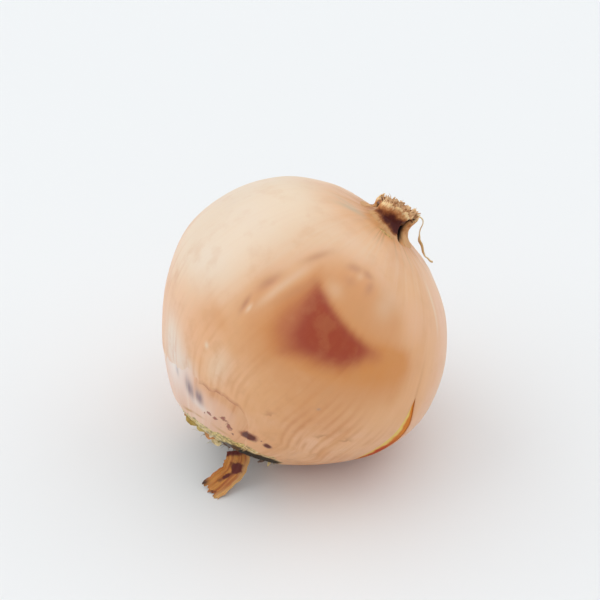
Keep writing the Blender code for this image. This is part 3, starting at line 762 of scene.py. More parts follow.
def strip_material():
    made, shader, w = surface("torn_strip", 0.5, coat=0.1, coat_roughness=0.3, scatter=0.2, shine=0.3)
    grain = grain_of(w)
    cloud = w.cloud(420, 4)
    colour = w.mix(w.fade(grain["Streaks"], 0.35, 0.68), (0.68, 0.29, 0.06), (0.38, 0.10, 0.02))
    colour = w.mix(w.times(w.mark("thin"), 0.55), colour, (0.72, 0.42, 0.17))
    # Dark bruises, and painted shade at the strip's top
    bruise_and_shade = w.uneven(w.mark("bruise_and_shade"), cloud, 1.3)
    colour = w.mix(w.fade(bruise_and_shade, 0.25, 0.75), colour, (0.11, 0.014, 0.008))
    colour = w.mix(w.mark("tip"), colour, (0.012, 0.007, 0.006))
    w.put(shader.inputs["Base Color"], colour)
    bump(w, shader, grain["Streaks"], 0.5, 0.0003)
    return made


# ---------------------------------------------------------------- the two skins of the bulb
# The run at the neck's rim, and the turn at which the outer skin's sheet begins and ends
TOP_RUN = float(RUN[OUTER.stop - 1])
SEAM = -65.0
# The slots between the neck's sheaths: the (turn, height) points of each one's line, and its half width.
# All of them are SLOT_DEPTH mm deep.
SLOT_DEPTH = 1.5
NECK_SLITS = (
    (((-82.0, 36.2), (-80.0, 37.5), (-80.0, 39.1), (-81.0, 41.0), (-67.0, 42.3), (-58.0, 43.6)), 1.0),
    (((162.0, 39.4), (166.0, 40.7), (172.0, 42.0), (176.0, 43.6)), 1.05),
    (((28.0, 38.0), (22.0, 40.0), (24.0, 42.0), (30.0, 43.6)), 0.35),
    (((98.0, 39.0), (104.0, 41.0), (102.0, 43.6)), 0.3),
)
MAROON_PATCH = (
    (-178, 38.9), (-160, 41.3), (-134, 42.0), (-108, 42.0), (-90, 41.4),
    (-83, 39.1), (-88, 37.2), (-102, 36.9), (-122, 37.6), (-151, 37.9),
)  # fmt: skip


def neck_slots(turn, run):
    """How far inside the slots between the neck's sheaths a place is: 1 in the middle, 0 outside. Each slot
    is a bell curve of the distance from its line, full along it and fading in at its lower end."""
    height = height_at(run)
    total = np.zeros(np.broadcast(turn, run).shape)
    for line, half in NECK_SLITS:
        path = smooth_curve(line, 6)
        middle = np.interp(height, path[:, 1], path[:, 0])
        away = np.radians(wrap(turn - middle)) * np.maximum(radius_at(run), 5.5)
        shape = np.exp(-((away / half) ** 4)) * smooth_step(height, path[0, 1] - 0.2, path[0, 1] + 1.2)
        total = np.maximum(total, shape * (run < TOP_RUN + 0.004))
    return total


def torn_height(turn):
    """Height of the outer skin's lower edge: ragged along the torn patch, at the root rim elsewhere."""
    edge = smooth_curve(TORN_EDGE, 6)
    height = np.interp(turn_behind(turn), edge[:, 0], edge[:, 1], left=RIM, right=RIM)
    torn = smooth_step(height, RIM, RIM + 6)
    angle = np.radians(turn)
    ragged = 0.55 * ripples(angle, 0, 41, 8, (9, 40), (0, 1))
    ragged = ragged + 0.35 * ripples(angle, 0, 42, 8, (50, 110), (0, 1))
    return np.maximum(height + ragged * (0.55 + 0.25 * torn) + 0.5, RIM + 0.12)


# Coloured patches of the outer skin as (turn, height) corners, and the crease that two of them end at
# The red and dark patches are partly the skin's copper colour and partly a painted dark reflection of the
# room
RED_PATCH = (
    (-132, 19.5), (-127, 19.6), (-119, 17.3), (-112, 16.9), (-104, 16.1), (-99, 14.9), (-102, 10.9),
    (-106, 7.3), (-112, 5.2), (-120, 3.1), (-126, 1.5), (-128, 6), (-130, 11.5), (-132, 15.7),
)  # fmt: skip
DARK_PATCH = (
    (-131, 18.5), (-126, 18.5), (-118, 17.5), (-103, 14.8), (-105, 11), (-112, 8.5), (-121, 6.8), (-126, 7.5),
)  # fmt: skip
HALO_PATCH = (
    (-146, 12), (-141, 22), (-133, 27), (-118, 29), (-104, 27), (-88, 22), (-74, 17),
    (-76, 6), (-88, 0), (-104, -5), (-122, -8), (-138, -6), (-146, 2),
)  # fmt: skip
OCHRE_PATCH = (
    (-136, 22.2), (-128, 21.6), (-116, 18.7), (-105, 18.7), (-90, 19.4), (-81, 18.9), (-81, 14.9),
    (-90, 8.1), (-102, 3.9), (-116, -0.1), (-130, -0.9), (-138, 1.8), (-139, 10.7), (-138, 16.9),
)  # fmt: skip
CREASE = (
    (-141, 26), (-134, 22.0), (-130, 20.2), (-126, 19.0), (-119, 17.8),
    (-112, 17.0), (-104, 16.6), (-97, 17.0), (-88, 18.6), (-78, 21),
)  # fmt: skip
SCARS = (
    (-121, -24.6), (-112, -16), (-103, -15), (-90, -12.8), (-90, -19.6),
    (-80, -10.3), (60, -8), (120, 12), (-5, 14),
)  # fmt: skip
# Soft patches of each mark on the outer skin: (strength, turn, height, width, length, lean)
SKIN_SPOTS = {
    "copper_and_dark_reflection": (),
    "rust": ((0.65, -132, 8, 4.5, 8), (0.3, -96, 14.5, 4.5, 3)),
    "tan": ((0.4, -144, 7, 5, 6), (0.4, -100, 24, 6, 6), (0.4, -155, -6, 8, 6)),
    "ochre": (
        (0.35, -152, -4, 9, 2.6, -20), (0.25, -110, -8, 22, 6), (0.4, 90, 6, 22, 9),
        (0.25, -100, -12, 8, 8), (0.5, -82, 11, 7, 7), (0.25, -86, -3, 8, 8),
    ),
    # Whitish patches, partly the skin's colour and partly painted sheen, the soft highlight on the left
    "white_and_sheen": (
        (1.0, -171, -24, 8, 8.5, 10), (0.5, -156, -22.5, 4, 3.5),
        (0.35, -172, 3, 12, 7), (0.3, 178, 17, 16, 9),
    ),
    # Pale patches: partly the skin's paler tone and partly painted sheen, the broad highlights on the upper
    # left and top
    "pale": (
        (0.6, -170, 4, 17, 13), (0.7, 166, 8, 14, 24), (0.42, -175, 24, 26, 15), (0.5, -141, -15.5, 5, 9),
        (0.4, -102, 25.5, 6, 4), (0.5, -172, -21, 7, 5, 10), (0.35, 150, 20, 40, 14),
    ),
    # Pink patches, some of them painted highlights, as beside the dark stain and along the crease
    "pink_and_sheen": (
        (0.75, -42, 2, 12, 22), (0.8, -46, 29, 5, 7), (0.5, -80, 26, 12, 8),
        (0.5, -141, 13, 2.2, 6), (0.5, 60, 0, 30, 18), (0.55, -120, 22.5, 5, 4),
    ),
    # Green-grey strokes, partly painted shade of sunken places near the neck
    "green_and_shade": (
        (0.85, -166, 35, 4.6, 1.5, 59), (0.45, -178, 35, 3.6, 1.0, 59),
        (0.5, -110, 36.6, 3.2, 1.2), (0.5, 60, 35, 6, 4),
    ),
    "straw": ((0.55, -122, 36.1, 2.6, 0.9), (0.65, -108, 36.1, 3.0, 0.8)),
    "scarred": tuple((1, at_turn, at_height, 1.6, 1.6) for at_turn, at_height in SCARS),
}  # fmt: skip


def turn_behind(turn):
    """The turn counted back from 100 degrees, so that it rises steadily across the torn patch."""
    return np.where(wrap(turn) > 100, wrap(turn) - 360, wrap(turn))


def skin_tints(turn, run):
    """The marks that colour the outer skin by place alone: its soft patches, some of them painted sheen, the
    dark stain that a crease cuts off, partly copper colour and partly a painted dark reflection of the room,
    the crust, the veined lower part and the neck."""
    height = height_at(run)
    marks = {mark: spots(turn, run, rows) for mark, rows in SKIN_SPOTS.items()}
    crease = np.interp(turn_behind(turn), *np.array(CREASE, float).T)
    below_it = smooth_step(crease - height, -3.2, 4.0)
    # Copper colour and painted dark reflection below the crease, where the skin shows no sheen
    stain = 0.70 * patch(turn, run, RED_PATCH, 5.5) + 0.62 * patch(turn, run, DARK_PATCH, 4.5)
    amber = 0.8 * patch(turn, run, OCHRE_PATCH, 5.5) + 0.5 * spot(turn, run, -90, 15.5, 5, 3.5)
    marks["copper_and_dark_reflection"] += stain * below_it
    marks["rust"] += 0.95 * patch(turn, run, RED_PATCH, 6.0) * below_it
    marks["tan"] += 0.95 * patch(turn, run, HALO_PATCH, 9)
    marks["ochre"] += amber * (0.45 + 0.55 * below_it) + 0.55 * smooth_step(height, 34.6, 36.6)
    # Painted sheen: the skin grows paler towards the top
    marks["pale"] += 0.2 * smooth_step(height, 22, 32)
    marks["straw"] += rim_band(turn, run)
    lower = smooth_step(-height, -6, 14)
    lower = lower * (0.75 + 0.4 * ripples(np.radians(turn), run * 9, 52, 5, (1, 4), (0.3, 1)))
    marks["veined"] = lower * (1 - 0.9 * spot(turn, run, -170, -10, 17, 26)) + 0.05
    marks["frayed"] = smooth_step(height, 33.2, 36.4)
    marks["maroon"] = patch(turn, run, MAROON_PATCH, 1.4)
    marks["neck"] = smooth_step(height, 35.6, 38.5)
    return marks


def rim_band(turn, run):
    """The dry crust above the root rim: 1 below a wavy line of (turn, height), 0 above it."""
    line = (
        (-220, -37.0), (-180, -36.4), (-164, -34.8), (-146, -34.0), (-127, -33.2), (-118, -32.4),
        (-109, -31.7), (-100, -31.2), (-92, -31.0), (-80, -32.0), (-65, -35.0), (-50, -38.4),
    )  # fmt: skip
    top = np.interp(turn_behind(turn), *np.array(line, float).T) - 0.5
    top = top + 0.7 * ripples(np.radians(turn), 0, 53, 8, (9, 60), (0, 1))
    return smooth_step(top - height_at(run), -0.5, 0.9)


def under_rim(turn, run):
    """The shaded hollow edge below the crust beside the strip: nearly 1 below a line of (turn, height)."""
    line = (
        (-133, -39.5), (-128, -38.2), (-120, -36.0), (-106, -34.2),
        (-90, -32.9), (-78, -33.2), (-66, -36.5), (-58, -39.5),
    )  # fmt: skip
    bottom = np.interp(turn_behind(turn), *np.array(line, float).T)
    bottom = bottom + 0.25 * ripples(np.radians(turn), 0, 54, 8, (20, 90), (0, 1))
    return 0.96 * smooth_step(bottom - height_at(run), -0.35, 0.35)


def outer_skin():
    """The outermost dry skin. Columns run from the right side of the split once round to its left side,
    bending with it, and rows from the ragged lower edge up to the neck's rim, where only the lowest rows
    follow the edge, by a fourth power. The edge is free along the torn patch and tucked in elsewhere."""
    rows, columns = 202, 240
    u = np.linspace(0, 1, columns)[None, :]
    v = np.linspace(0, 1, rows)[:, None]
    plain_turn = SEAM + 360 * (u - 0.0115 * np.sin(2 * math.pi * u))
    low = run_at(torn_height(plain_turn))
    rim = run_at(RIM + 0.12)
    run = rim + (TOP_RUN - rim) * v + (low - rim) * (1 - v) ** 4
    height = height_at(run)
    radius = radius_at(run)
    from_seam = np.minimum(u, 1 - u) * 360
    bend = (split_turn(height) - SEAM) * np.exp(-((from_seam / 35) ** 2))
    half = split_half(height)
    turn = plain_turn + bend + np.degrees(half / radius) * (1 - 2 * u)
    past_right = np.radians(np.maximum(plain_turn - SEAM, 0)) * radius
    upright = 0.06 * smooth_step(half, 0.2, 1.6) + 0.02 * (1 - smooth_step(height, 10, 18)) * (height > -34)
    slots = neck_slots(turn, run)
    over_edge = (run - low) * LENGTH
    loose = 0.12 * smooth_step(1 - over_edge, -3.0, 1.0) * smooth_step(height, RIM + 2, RIM + 8)
    free = np.exp(-(((turn_behind(turn) + 134) / 13) ** 6))
    tucked = 0.4 * np.exp(-((over_edge / 2.6) ** 2)) * (1 - free)
    raised = upright * np.exp(-past_right / 2.2)
    lift = relief(turn, run) + raised + loose * free - tucked - SLOT_DEPTH * slots
    outer = onion_point(turn, run, lift)
    inner = onion_point(turn, run, lift - 0.2)
    points, faces = shell(outer, inner)

    marks = skin_tints(turn, run)
    torn = smooth_step(torn_height(plain_turn), RIM + 1, RIM + 6)
    # Painted shade under the lifted right edge of the split
    right_lip_shade = np.exp(-past_right / 0.45) * smooth_step(half, 0.05, 0.4) * (u < 0.5)
    seam_line = np.exp(-np.radians(from_seam) * radius / 0.5) * smooth_step(height, 0, 5)
    marks["edge"] = torn * np.clip(1 - over_edge / 1.5, 0, 1) * free
    # Painted shade: 1 near the table, fading by 9 mm up
    marks["under"] = 1 - smooth_step(outer[..., 2] / MM, 1.5, 9)
    marks["lip"] = np.maximum(right_lip_shade, 0.55 * seam_line * (1 - smooth_step(height, 9, 26)))
    # Painted shade in the neck's slots and in the hollow edge under the rim
    marks["deep"] = np.maximum(smooth_step(slots, 0.25, 0.75), under_rim(turn, run))
    marks = {key: on_both(value, run.shape) for key, value in marks.items()}
    uv = sheet_map(u, run, run.shape)
    make("outer_skin", points, faces, outer_skin_material(), "bulb", marks, uv)


def split_floor():
    """The skin seen in the open split: a strip along the split's line that reaches a little under its edges
    and swells into the opening. It is yellow on the left and reddens to the right and low down."""
    rows, columns = 130, 30
    height = np.linspace(SPLIT_HALVES[0][0], SPLIT_HALVES[-1][0] + 2, rows)[:, None]
    across = np.linspace(-1, 1, columns)[None, :]
    run = run_at(height) + 0 * across
    reach = split_half(height) + 1.1
    turn = split_turn(height) + np.degrees(reach * across / radius_at(run))
    place_across = across * reach / np.maximum(split_half(height), 0.3)
    open_here = smooth_step(split_half(height), 0.2, 1.6)
    lift = relief(turn, run) - 0.27 + 0.14 * open_here * (1 - smooth_step(np.abs(place_across), 1.1, 1.7))
    lift = lift - 0.03 * np.cos(across * 9 + height * 0.3) * open_here
    points, faces = shell(onion_point(turn, run, lift), onion_point(turn, run, lift - 0.12))
    wave = 0.12 * np.sin(height * 1.1) + 0.07 * np.sin(height * 2.7)
    low = smooth_step(-height, 1, 12)
    # The yellow is partly painted light on the lit side of the opening, the red partly painted shade to the
    # right and low down
    marks = {
        "yellow": 1 - smooth_step(place_across + wave, -0.6, 0.15),
        "red": smooth_step(place_across + wave + 0.8 * low, 0.15, 0.95) * (0.25 + 0.75 * low),
    }
    marks = {key: on_both(value, run.shape) for key, value in marks.items()}
    uv = sheet_map(across * 0.02, run, run.shape)
    make("split_floor", points, faces, split_material(), "bulb", marks, uv)


def inner_skin():
    """The skin below the outermost one, as the closed body of the bulb: the whole outline turned once
    round and set in by UNDER, except near the root hollow, with a point at each end of the axis."""
    rows, columns = 236, 280
    run = np.linspace(0, 1, rows + 2)[1:-1, None]
    turn = np.linspace(-20, 340, columns, endpoint=False)[None, :]
    height = height_at(run)
    slots = neck_slots(turn, run)
    lift = relief(turn, run) + UNDER * smooth_step(run, 0.05, 0.13) - SLOT_DEPTH * slots
    hollow = -0.2 * spot(turn, run, -51, -10, 4.5, 13, -22)
    rings = onion_point(turn, run, lift + hollow)
    poles = onion_point(0, [0.0, 1.0], 0)
    count = rows * columns
    faces = grid_quads(rows, columns, True).tolist()
    around = np.arange(columns)
    after = (around + 1) % columns
    last = (rows - 1) * columns
    faces += [[int(b), int(a), count] for a, b in zip(around, after)]
    faces += [[int(last + a), int(last + b), count + 1] for a, b in zip(around, after)]
    points = np.concatenate([rings.reshape(-1, 3), poles])
    behind = turn_behind(turn)
    below = torn_height(turn) - height
    torn = smooth_step(behind, -226, -216) * smooth_step(-behind, 98, 104)
    bare = torn * smooth_step(below, -7.0, -4.0) + smooth_step(-height, 33, 36)
    warm = 0.5 * smooth_step(behind, -145, -127) + 0.5 * smooth_step(behind, -128, -120)
    warm = warm + np.exp(-((below / 2.8) ** 2)) * (behind > -152)
    # Painted shade: the root hollow and the neck's hollow are made nearly black
    hollows = np.maximum(0.9 - 0.9 * smooth_step(run, 0.085, 0.115), (run > TOP_RUN + 0.01) * 0.75)
    marks = {
        # Whitish patches, partly painted sheen
        "white_and_sheen": spots(turn, run, ((1.0, -171, -25, 9, 9, 10), (0.6, -146, -29.5, 3.5, 1.5))),
        "peach": np.clip(warm, 0, 1),
        "bare": np.clip(bare, 0, 1),
        "straw": rim_band(turn, run),
        "deep": np.maximum(np.maximum(slots**1.2, under_rim(turn, run)), hollows),
    }
    shape = (rows, columns)
    marks = {key: np.append(np.ravel(np.broadcast_to(value, shape)), (0, 0)) for key, value in marks.items()}
    uv = np.stack(np.broadcast_arrays((turn + 20) / 360, run), axis=-1).reshape(-1, 2)
    uv = np.concatenate([uv, [(0.5, 0.0), (0.5, 1.0)]])
    make("inner_skin", points, faces, inner_skin_material(), "bulb", marks, uv)


# ---------------------------------------------------------------- neck
def blade(path, across, widths, thickness):
    """(points, faces) of a thin tapered blade: at each point of the path a flat diamond of the given width
    along `across` and the given thickness."""
    along, _, _ = frames_along(path)
    side = across - along * (along * across).sum(axis=1, keepdims=True)
    side /= np.linalg.norm(side, axis=1, keepdims=True)
    out = np.cross(along, side)
    half, thick = np.asarray(widths)[:, None] / 2, thickness / 2
    ring = np.stack([path + side * half, path + out * thick, path - side * half, path - out * thick], axis=1)
    rows = len(path)
    faces = grid_quads(rows, 4, True).tolist()
    faces += [[3, 2, 1, 0], [4 * rows - 4, 4 * rows - 3, 4 * rows - 2, 4 * rows - 1]]
    return ring.reshape(-1, 3), faces


def leaf_shreds():
    """The cut leaf ends in the neck: many thin dry blades that rise out of the hollow on a sunflower
    pattern, every third one much finer. They taper and lean mostly outwards, more the further out they
    stand."""
    draw = np.random.default_rng(77)
    parts, shade = [], []
    count = 190
    share = np.linspace(0, 1, 7)[:, None]
    for index in range(count):
        fine = index % 3 == 2
        turn = index * GOLDEN_ANGLE
        spread = math.sqrt((index + 0.5) / count)
        reach = 5.9 * spread
        out, side = outwards(turn)
        base = out * min(reach, 5.4) + NECK_AXIS + (0, 0, 40.2 + 1.2 * spread**2)
        length = draw.uniform(1.8, 3.9) * (0.75 if reach > 4.8 else 1.0) * (1.15 if fine else 1.0)
        lean = draw.uniform(-0.1, 0.75) * spread
        bow = out * lean + side * draw.uniform(-0.65, 0.65)
        wave = 0.10 * np.sin(9 * share + draw.uniform(0, 6)) * side
        path = base + length * (UP * share * (1 - 0.25 * lean * share) + bow * share**2 + wave * share)
        width = draw.uniform(0.18, 0.34) if fine else draw.uniform(0.7, 2.0)
        widths = width * (1 - 0.75 * share[:, 0] ** draw.uniform(1.5, 5))
        path = place(set_ends(path))
        parts.append(blade(path, TO_ROW @ side + 0 * path, widths * MM, (0.16 if fine else 0.2) * MM))
        shade.append(draw.uniform(0, 0.75) if not fine else draw.uniform(0, 0.3))
    points, faces, number = join(parts)
    material = plain_material("shredded_leaf", (0.94, 0.66, 0.37), (0.48, 0.20, 0.07), 900, 0.75)
    make("leaf_shreds", points, faces, material, "leaf_ends", {"vary": np.array(shade)[number]})


def thread():
    """The long shred that hangs from the leaf ends: a tube along a crooked path, which two sines of
    different length shake, thick and thin in turn."""
    path = smooth_curve(THREAD_PATH, 9) * MM
    share = np.linspace(0, 1, len(path))
    radii = np.interp(share * (len(THREAD_RADII) - 1), range(len(THREAD_RADII)), THREAD_RADII) * MM
    _, side, other = frames_along(path)
    path = path + (side * np.sin(31 * share)[:, None] + other * np.sin(47 * share)[:, None]) * 0.12 * MM
    sides = 8
    points, faces = tube(path, radii, sides)
    marks = {"vary": np.repeat(smooth_step(radii, 0.22 * MM, 0.4 * MM), sides)}
    material = plain_material("dry_thread", (0.80, 0.64, 0.38), (0.55, 0.30, 0.09), 500, 0.7)
    make("thread", points, faces, material, "leaf_ends", marks)


THREAD_PATH = (
    (25.2, 6.5, 69.9), (29.1, 5.5, 70.1), (30.2, 4.5, 68.2), (29.4, 4.7, 64.9), (29.7, 4.7, 62.5),
    (30.7, 4.7, 59.1), (31.6, 4.7, 57.0), (33.5, 4.7, 55.5),
)  # fmt: skip
THREAD_RADII = (0.3, 0.22, 0.16, 0.16, 0.42, 0.36, 0.2, 0.3)

# Each dry sheath round the neck: (first turn, last turn, low height, top height, lift, seed)
SHEATHS = (
    (-76.0, 60.0, 36.2, 43.3, 0.25, 1),
    (40.0, 165.0, 36.4, 43.0, 0.2, 2),
    (184.0, 276.0, 36.8, 43.2, 0.22, 3),
    (-20.0, 95.0, 37.4, 42.8, 0.4, 4),
    (196.0, 262.0, 38.6, 43.5, 0.35, 5),
)
SHEATH_TOP = 42.9


def sheath_material():
    made, shader, w = surface("neck_sheath", 0.6, scatter=0.08, shine=0.25)
    grain = grain_of(w)
    cloud = w.cloud(420, 4)
    colour = w.mix(w.fade(cloud, 0.35, 0.65), (0.74, 0.40, 0.17), (0.50, 0.19, 0.06))
    colour = w.mix(w.fade(w.mark("low"), 0.0, 1.0), colour, (0.70, 0.38, 0.17))
    streak = w.fade(grain["Streaks"], 0.45, 0.65, 0.0, 0.6)
    colour = w.mix(streak, colour, (0.50, 0.22, 0.07))
    colour = w.mix(w.fade(w.mark("rag"), 0.0, 0.8, 0.0, 0.9), colour, (0.96, 0.68, 0.36))
    maroon = w.uneven(w.mark("maroon"), cloud, 1.6)
    colour = w.mix(w.fade(maroon, 0.0, 0.6), colour, (0.36, 0.12, 0.035))
    colour = w.mix(w.fade(maroon, 0.3, 1.0), colour, MAROON)
    # Painted shade in the slots between the sheaths
    colour = w.mix(w.mark("deep"), colour, HOLLOW_SHADE)
    w.put(shader.inputs["Base Color"], colour)
    bump(w, shader, w.plus(grain["Streaks"], w.times(cloud, 0.5)), 0.5, 0.0004)
    return made


def neck_sheaths():
    """Dry sheaths round the neck: each a band that lies on the skin at its foot and at its two sides and is
    lifted off it above, pleated, with a torn top edge that rises and falls and bends in and out."""
    parts, marks, maps = [], {"deep": [], "maroon": [], "low": [], "rag": []}, []
    rows, columns = 34, 84
    for first, last, low, top, lift, seed in SHEATHS:
        u = np.linspace(0, 1, columns)[None, :]
        v = np.linspace(0, 1, rows)[:, None]
        angle = np.radians(first + (last - first) * u)
        peak = top + 0.4 * ripples(angle, 0, 60 + seed, 6, (7, 24), (0, 1))
        peak = peak + 0.3 * ripples(angle, 0, 70 + seed, 6, (30, 60), (0, 1))
        height = low + (peak - low) * v
        turn = np.degrees(angle) + 3 * np.sin(3 * v + seed)
        run = run_at(np.minimum(height, SHEATH_TOP))
        sides = np.clip(np.minimum(u, 1 - u) * 9, 0, 1) ** 0.5
        rise = relief(turn, run) + lift * smooth_step(v, 0, 0.3) * (0.35 + 0.65 * sides)
        rise = rise + 0.07 * ripples(angle, v, 80 + seed, 5, (6, 16), (0, 2)) * v
        rise = rise + 0.5 * smooth_step(v, 0.8, 1.0) * ripples(angle, 0, 90 + seed, 5, (5, 15), (0, 1))
        over = np.maximum(height - SHEATH_TOP, 0)[..., None] * (TO_ROW @ UP) * MM
        slots = neck_slots(turn, run)
        outer = onion_point(turn, run, rise + 0.05 - SLOT_DEPTH * slots) + over
        inner = onion_point(turn, run, rise - 0.17 - SLOT_DEPTH * slots) + over
        points, faces = shell(outer, inner)
        parts.append((points, faces.tolist()))
        stains = spots(turn, run, ((0.6, 30, 39, 4, 2), (0.5, 130, 39, 3, 2)))
        values = {
            "deep": smooth_step(slots, 0.25, 0.75),
            "maroon": patch(turn, run, MAROON_PATCH, 1.9) + stains,
            "low": 1 - smooth_step(v, 0.0, 0.4),
            "rag": smooth_step(v, 0.78, 1.0),
        }
        for key, value in values.items():
            marks[key].append(on_both(value, run.shape))
        maps.append(sheet_map(turn / 360 + seed * 0.37, run * 1.5, run.shape))
    points, faces, _ = join(parts)
    marks = {key: np.concatenate(value) for key, value in marks.items()}
    make("neck_sheaths", points, faces, sheath_material(), "bulb", marks, np.concatenate(maps))


# ---------------------------------------------------------------- root end
# The turn at which the strip of skin leaves the root rim
STRIP_TURN = -98.0


def root_plate():
    """The basal plate: a low knobbly dome that falls off with the cube of the distance from its middle,
    closed by a flat back."""
    rings, sides = 14, 56
    share = np.linspace(0.04, 1, rings)[:, None]
    angle = np.linspace(0, 2 * math.pi, sides, endpoint=False)[None, :]
    radius = 6.4 * share * (1 + 0.05 * np.sin(3 * angle + 1) + 0.03 * np.sin(7 * angle))
    knobs = 0.35 * ripples(angle, share * 9, 31, 10, (3, 15), (0.4, 1.6))
    height = -38.0 + 1.6 * share**3 + knobs * (1 - share**6)
    front = np.stack([radius * np.cos(angle), radius * np.sin(angle), height], axis=-1)
    back = np.stack([radius * np.cos(angle), radius * np.sin(angle), 0 * radius - 35.9], axis=-1)[::-1]
    points = set_ends(np.concatenate([front, back]).reshape(-1, 3) + ROOT_AXIS)
    total = 2 * rings
    faces = grid_quads(total, sides, True, flip=True).tolist()
    faces += [list(range(sides)), list(range((total - 1) * sides, total * sides))[::-1]]
    material = plain_material("root_plate_skin", (0.40, 0.30, 0.16), (0.12, 0.075, 0.045), 700, 0.85)
    marks = {"vary": np.zeros(len(points))}
    make("root_plate_dome", place(points), faces, material, "root_plate", marks)


def dead_roots():
    """Dry roots on a sunflower pattern over the basal plate: tapered tubes that lean outwards and curl,
    less so beside the strip of skin. Every third one is a longer, finer hair."""
    draw = np.random.default_rng(19)
    parts, shade = [], []
    count = 230
    share = np.linspace(0, 1, 8)[:, None]
    for index in range(count):
        hair = index % 3 == 0
        turn = index * GOLDEN_ANGLE
        reach = 6.0 * math.sqrt((index + 0.5) / count)
        aim = turn + draw.uniform(-0.7, 0.7)
        out, side = outwards(aim)
        base = np.array((reach * math.cos(turn), reach * math.sin(turn), -37.3)) + ROOT_AXIS
        beside = abs(wrap(math.degrees(turn) - STRIP_TURN))
        spread = draw.uniform(0.2, 1.0) * reach / 6.0 * (0.25 + 0.75 * float(smooth_step(beside, 25, 60)))
        length = draw.uniform(2.0, 4.6) * (1.35 if hair else 1.0)
        curl, kink = draw.uniform(-0.6, 0.6), draw.uniform(0.05, 0.16)
        bow = out * spread * share**1.4 + side * curl * share**2 - UP * share * (1 - 0.3 * spread * share)
        shake = np.sin(7 * share + turn) * side + np.sin(9 * share + 2 * turn) * out
        path = base + length * (bow + kink * shake * share)
        radius = draw.uniform(0.09, 0.14) if hair else draw.uniform(0.2, 0.4)
        parts.append(tube(place(set_ends(path)), radius * (1 - 0.7 * share[:, 0] ** 1.5) * MM, 5))
        shade.append(draw.uniform(0, 0.25) if hair else draw.uniform(0.1, 0.95))
    points, faces, number = join(parts)
    material = plain_material("dead_roots", (0.66, 0.60, 0.44), (0.24, 0.16, 0.09), 800, 0.8)
    make("dead_roots", points, faces, material, "root_plate", {"vary": np.array(shade)[number]})


def collar_material():
    """The mark `vary` picks each scrap's colour: straw, yellow, rust, pale or nearly black."""
    made, shader, w = surface("root_collar", 0.6, scatter=0.05)
    cloud = w.cloud(600, 4)
    ramp = w.node("ShaderNodeValToRGB")
    stops = ramp.color_ramp.elements
    stops[0].color = (0.26, 0.20, 0.05, 1)
    stops[1].color = (0.10, 0.05, 0.03, 1)
    stops.new(0.3).color = (0.50, 0.35, 0.09, 1)
    stops.new(0.55).color = (0.74, 0.60, 0.30, 1)
    stops.new(0.72).color = (0.62, 0.26, 0.08, 1)
    stops.new(0.86).color = (0.72, 0.62, 0.45, 1)
    w.put(ramp.inputs["Fac"], w.mark("vary"))
    colour = w.mix(w.fade(cloud, 0.45, 0.75, 0.0, 0.7), ramp.outputs["Color"], (0.22, 0.12, 0.04))
    w.put(shader.inputs["Base Color"], colour)
    bump(w, shader, cloud, 0.5, 0.0004)
    return made


# The larger chips on the root rim: (turn, width, length, shade), and the shades of the other scraps
CHIPS = (
    (-136.0, 3.0, 1.9, 0.72),
    (-127.0, 3.4, 2.1, 0.58),
    (-160.0, 5.0, 1.2, 0.3),
    (-146.0, 3.6, 1.2, 0.35),
    (-99.0, 1.6, 1.4, 0.8),
)
SCRAP_SHADES = (0.05, 0.2, 0.3, 0.4, 0.5, 0.6, 0.72, 0.86, 1.0)


def root_collar():
    """Torn ends of old skins round the root hollow: small curved scraps, narrower towards the tip, spaced
    evenly but for a random shift, and then the larger chips of CHIPS. By the strip of skin they are short
    and lean inwards."""
    draw = np.random.default_rng(8)
    parts, shade = [], []
    share = np.linspace(0, 1, 6)[:, None]
    down = -(TO_ROW @ UP)
    count, scraps = 74, []
    for index in range(count):
        turn = 360 * (index + draw.uniform(-0.4, 0.4)) / count
        scraps.append((turn, draw.uniform(0.9, 3.4), draw.uniform(0.6, 2.4), None))
    for turn, width, length, chosen in scraps + list(CHIPS):
        near = -185 < wrap(turn) < -80 or wrap(turn) > 170
        if chosen is None and (wrap(turn) > 150 or wrap(turn) < -100):
            width, length = 0.55 * width, min(0.6 * length, 0.9)
        foot = onion_point(turn, run_at(RIM + draw.uniform(0.15, 1.3)), draw.uniform(-0.35, 0.1))
        out, side = (TO_ROW @ direction for direction in outwards(math.radians(turn)))
        flare = draw.uniform(-0.5, 0.9) if near else draw.uniform(-0.7, 0.5)
        if abs(wrap(turn - STRIP_TURN)) < 24:
            flare, length = -0.9, min(length, 0.7)
        bow = down * share * 0.9 + out * flare * share**2 + side * draw.uniform(-0.5, 0.5) * share**2
        path = foot + length * MM * bow - down * 0.4 * MM
        widths = width * (1 - draw.uniform(0.4, 0.95) * share[:, 0] ** draw.uniform(0.8, 3)) + 0.08
        across = side + out * draw.uniform(-0.3, 0.3)
        parts.append(blade(path, across, widths * MM, draw.uniform(0.18, 0.3) * MM))
        shade.append(draw.choice(SCRAP_SHADES) if chosen is None else chosen)
        # Painted shade: the scraps beside the strip are made nearly black for the shaded gap under the bulb
        if -122 < wrap(turn) < -60 and chosen is None:
            shade[-1] = 1.0
    points, faces, number = join(parts)
    marks = {"vary": np.array(shade)[number]}
    make("root_collar", points, faces, collar_material(), "bulb", marks)


# The strip's middle line in mm, its widths along it, and its direction across at its top and its foot
STRIP_PATH = (
    (-20.8, -23.1, 10.6), (-21.1, -24.3, 7.4), (-22.5, -25.5, 4.8), (-25.3, -27.0, 2.3), (-28.6, -28.9, 0.45),
)  # fmt: skip
STRIP_WIDTHS = (6.4, 7.0, 6.4, 6.5, 7.4)
STRIP_ACROSS = ((-0.83, -0.07, 0.55), (-0.9, 0.44, 0.0))


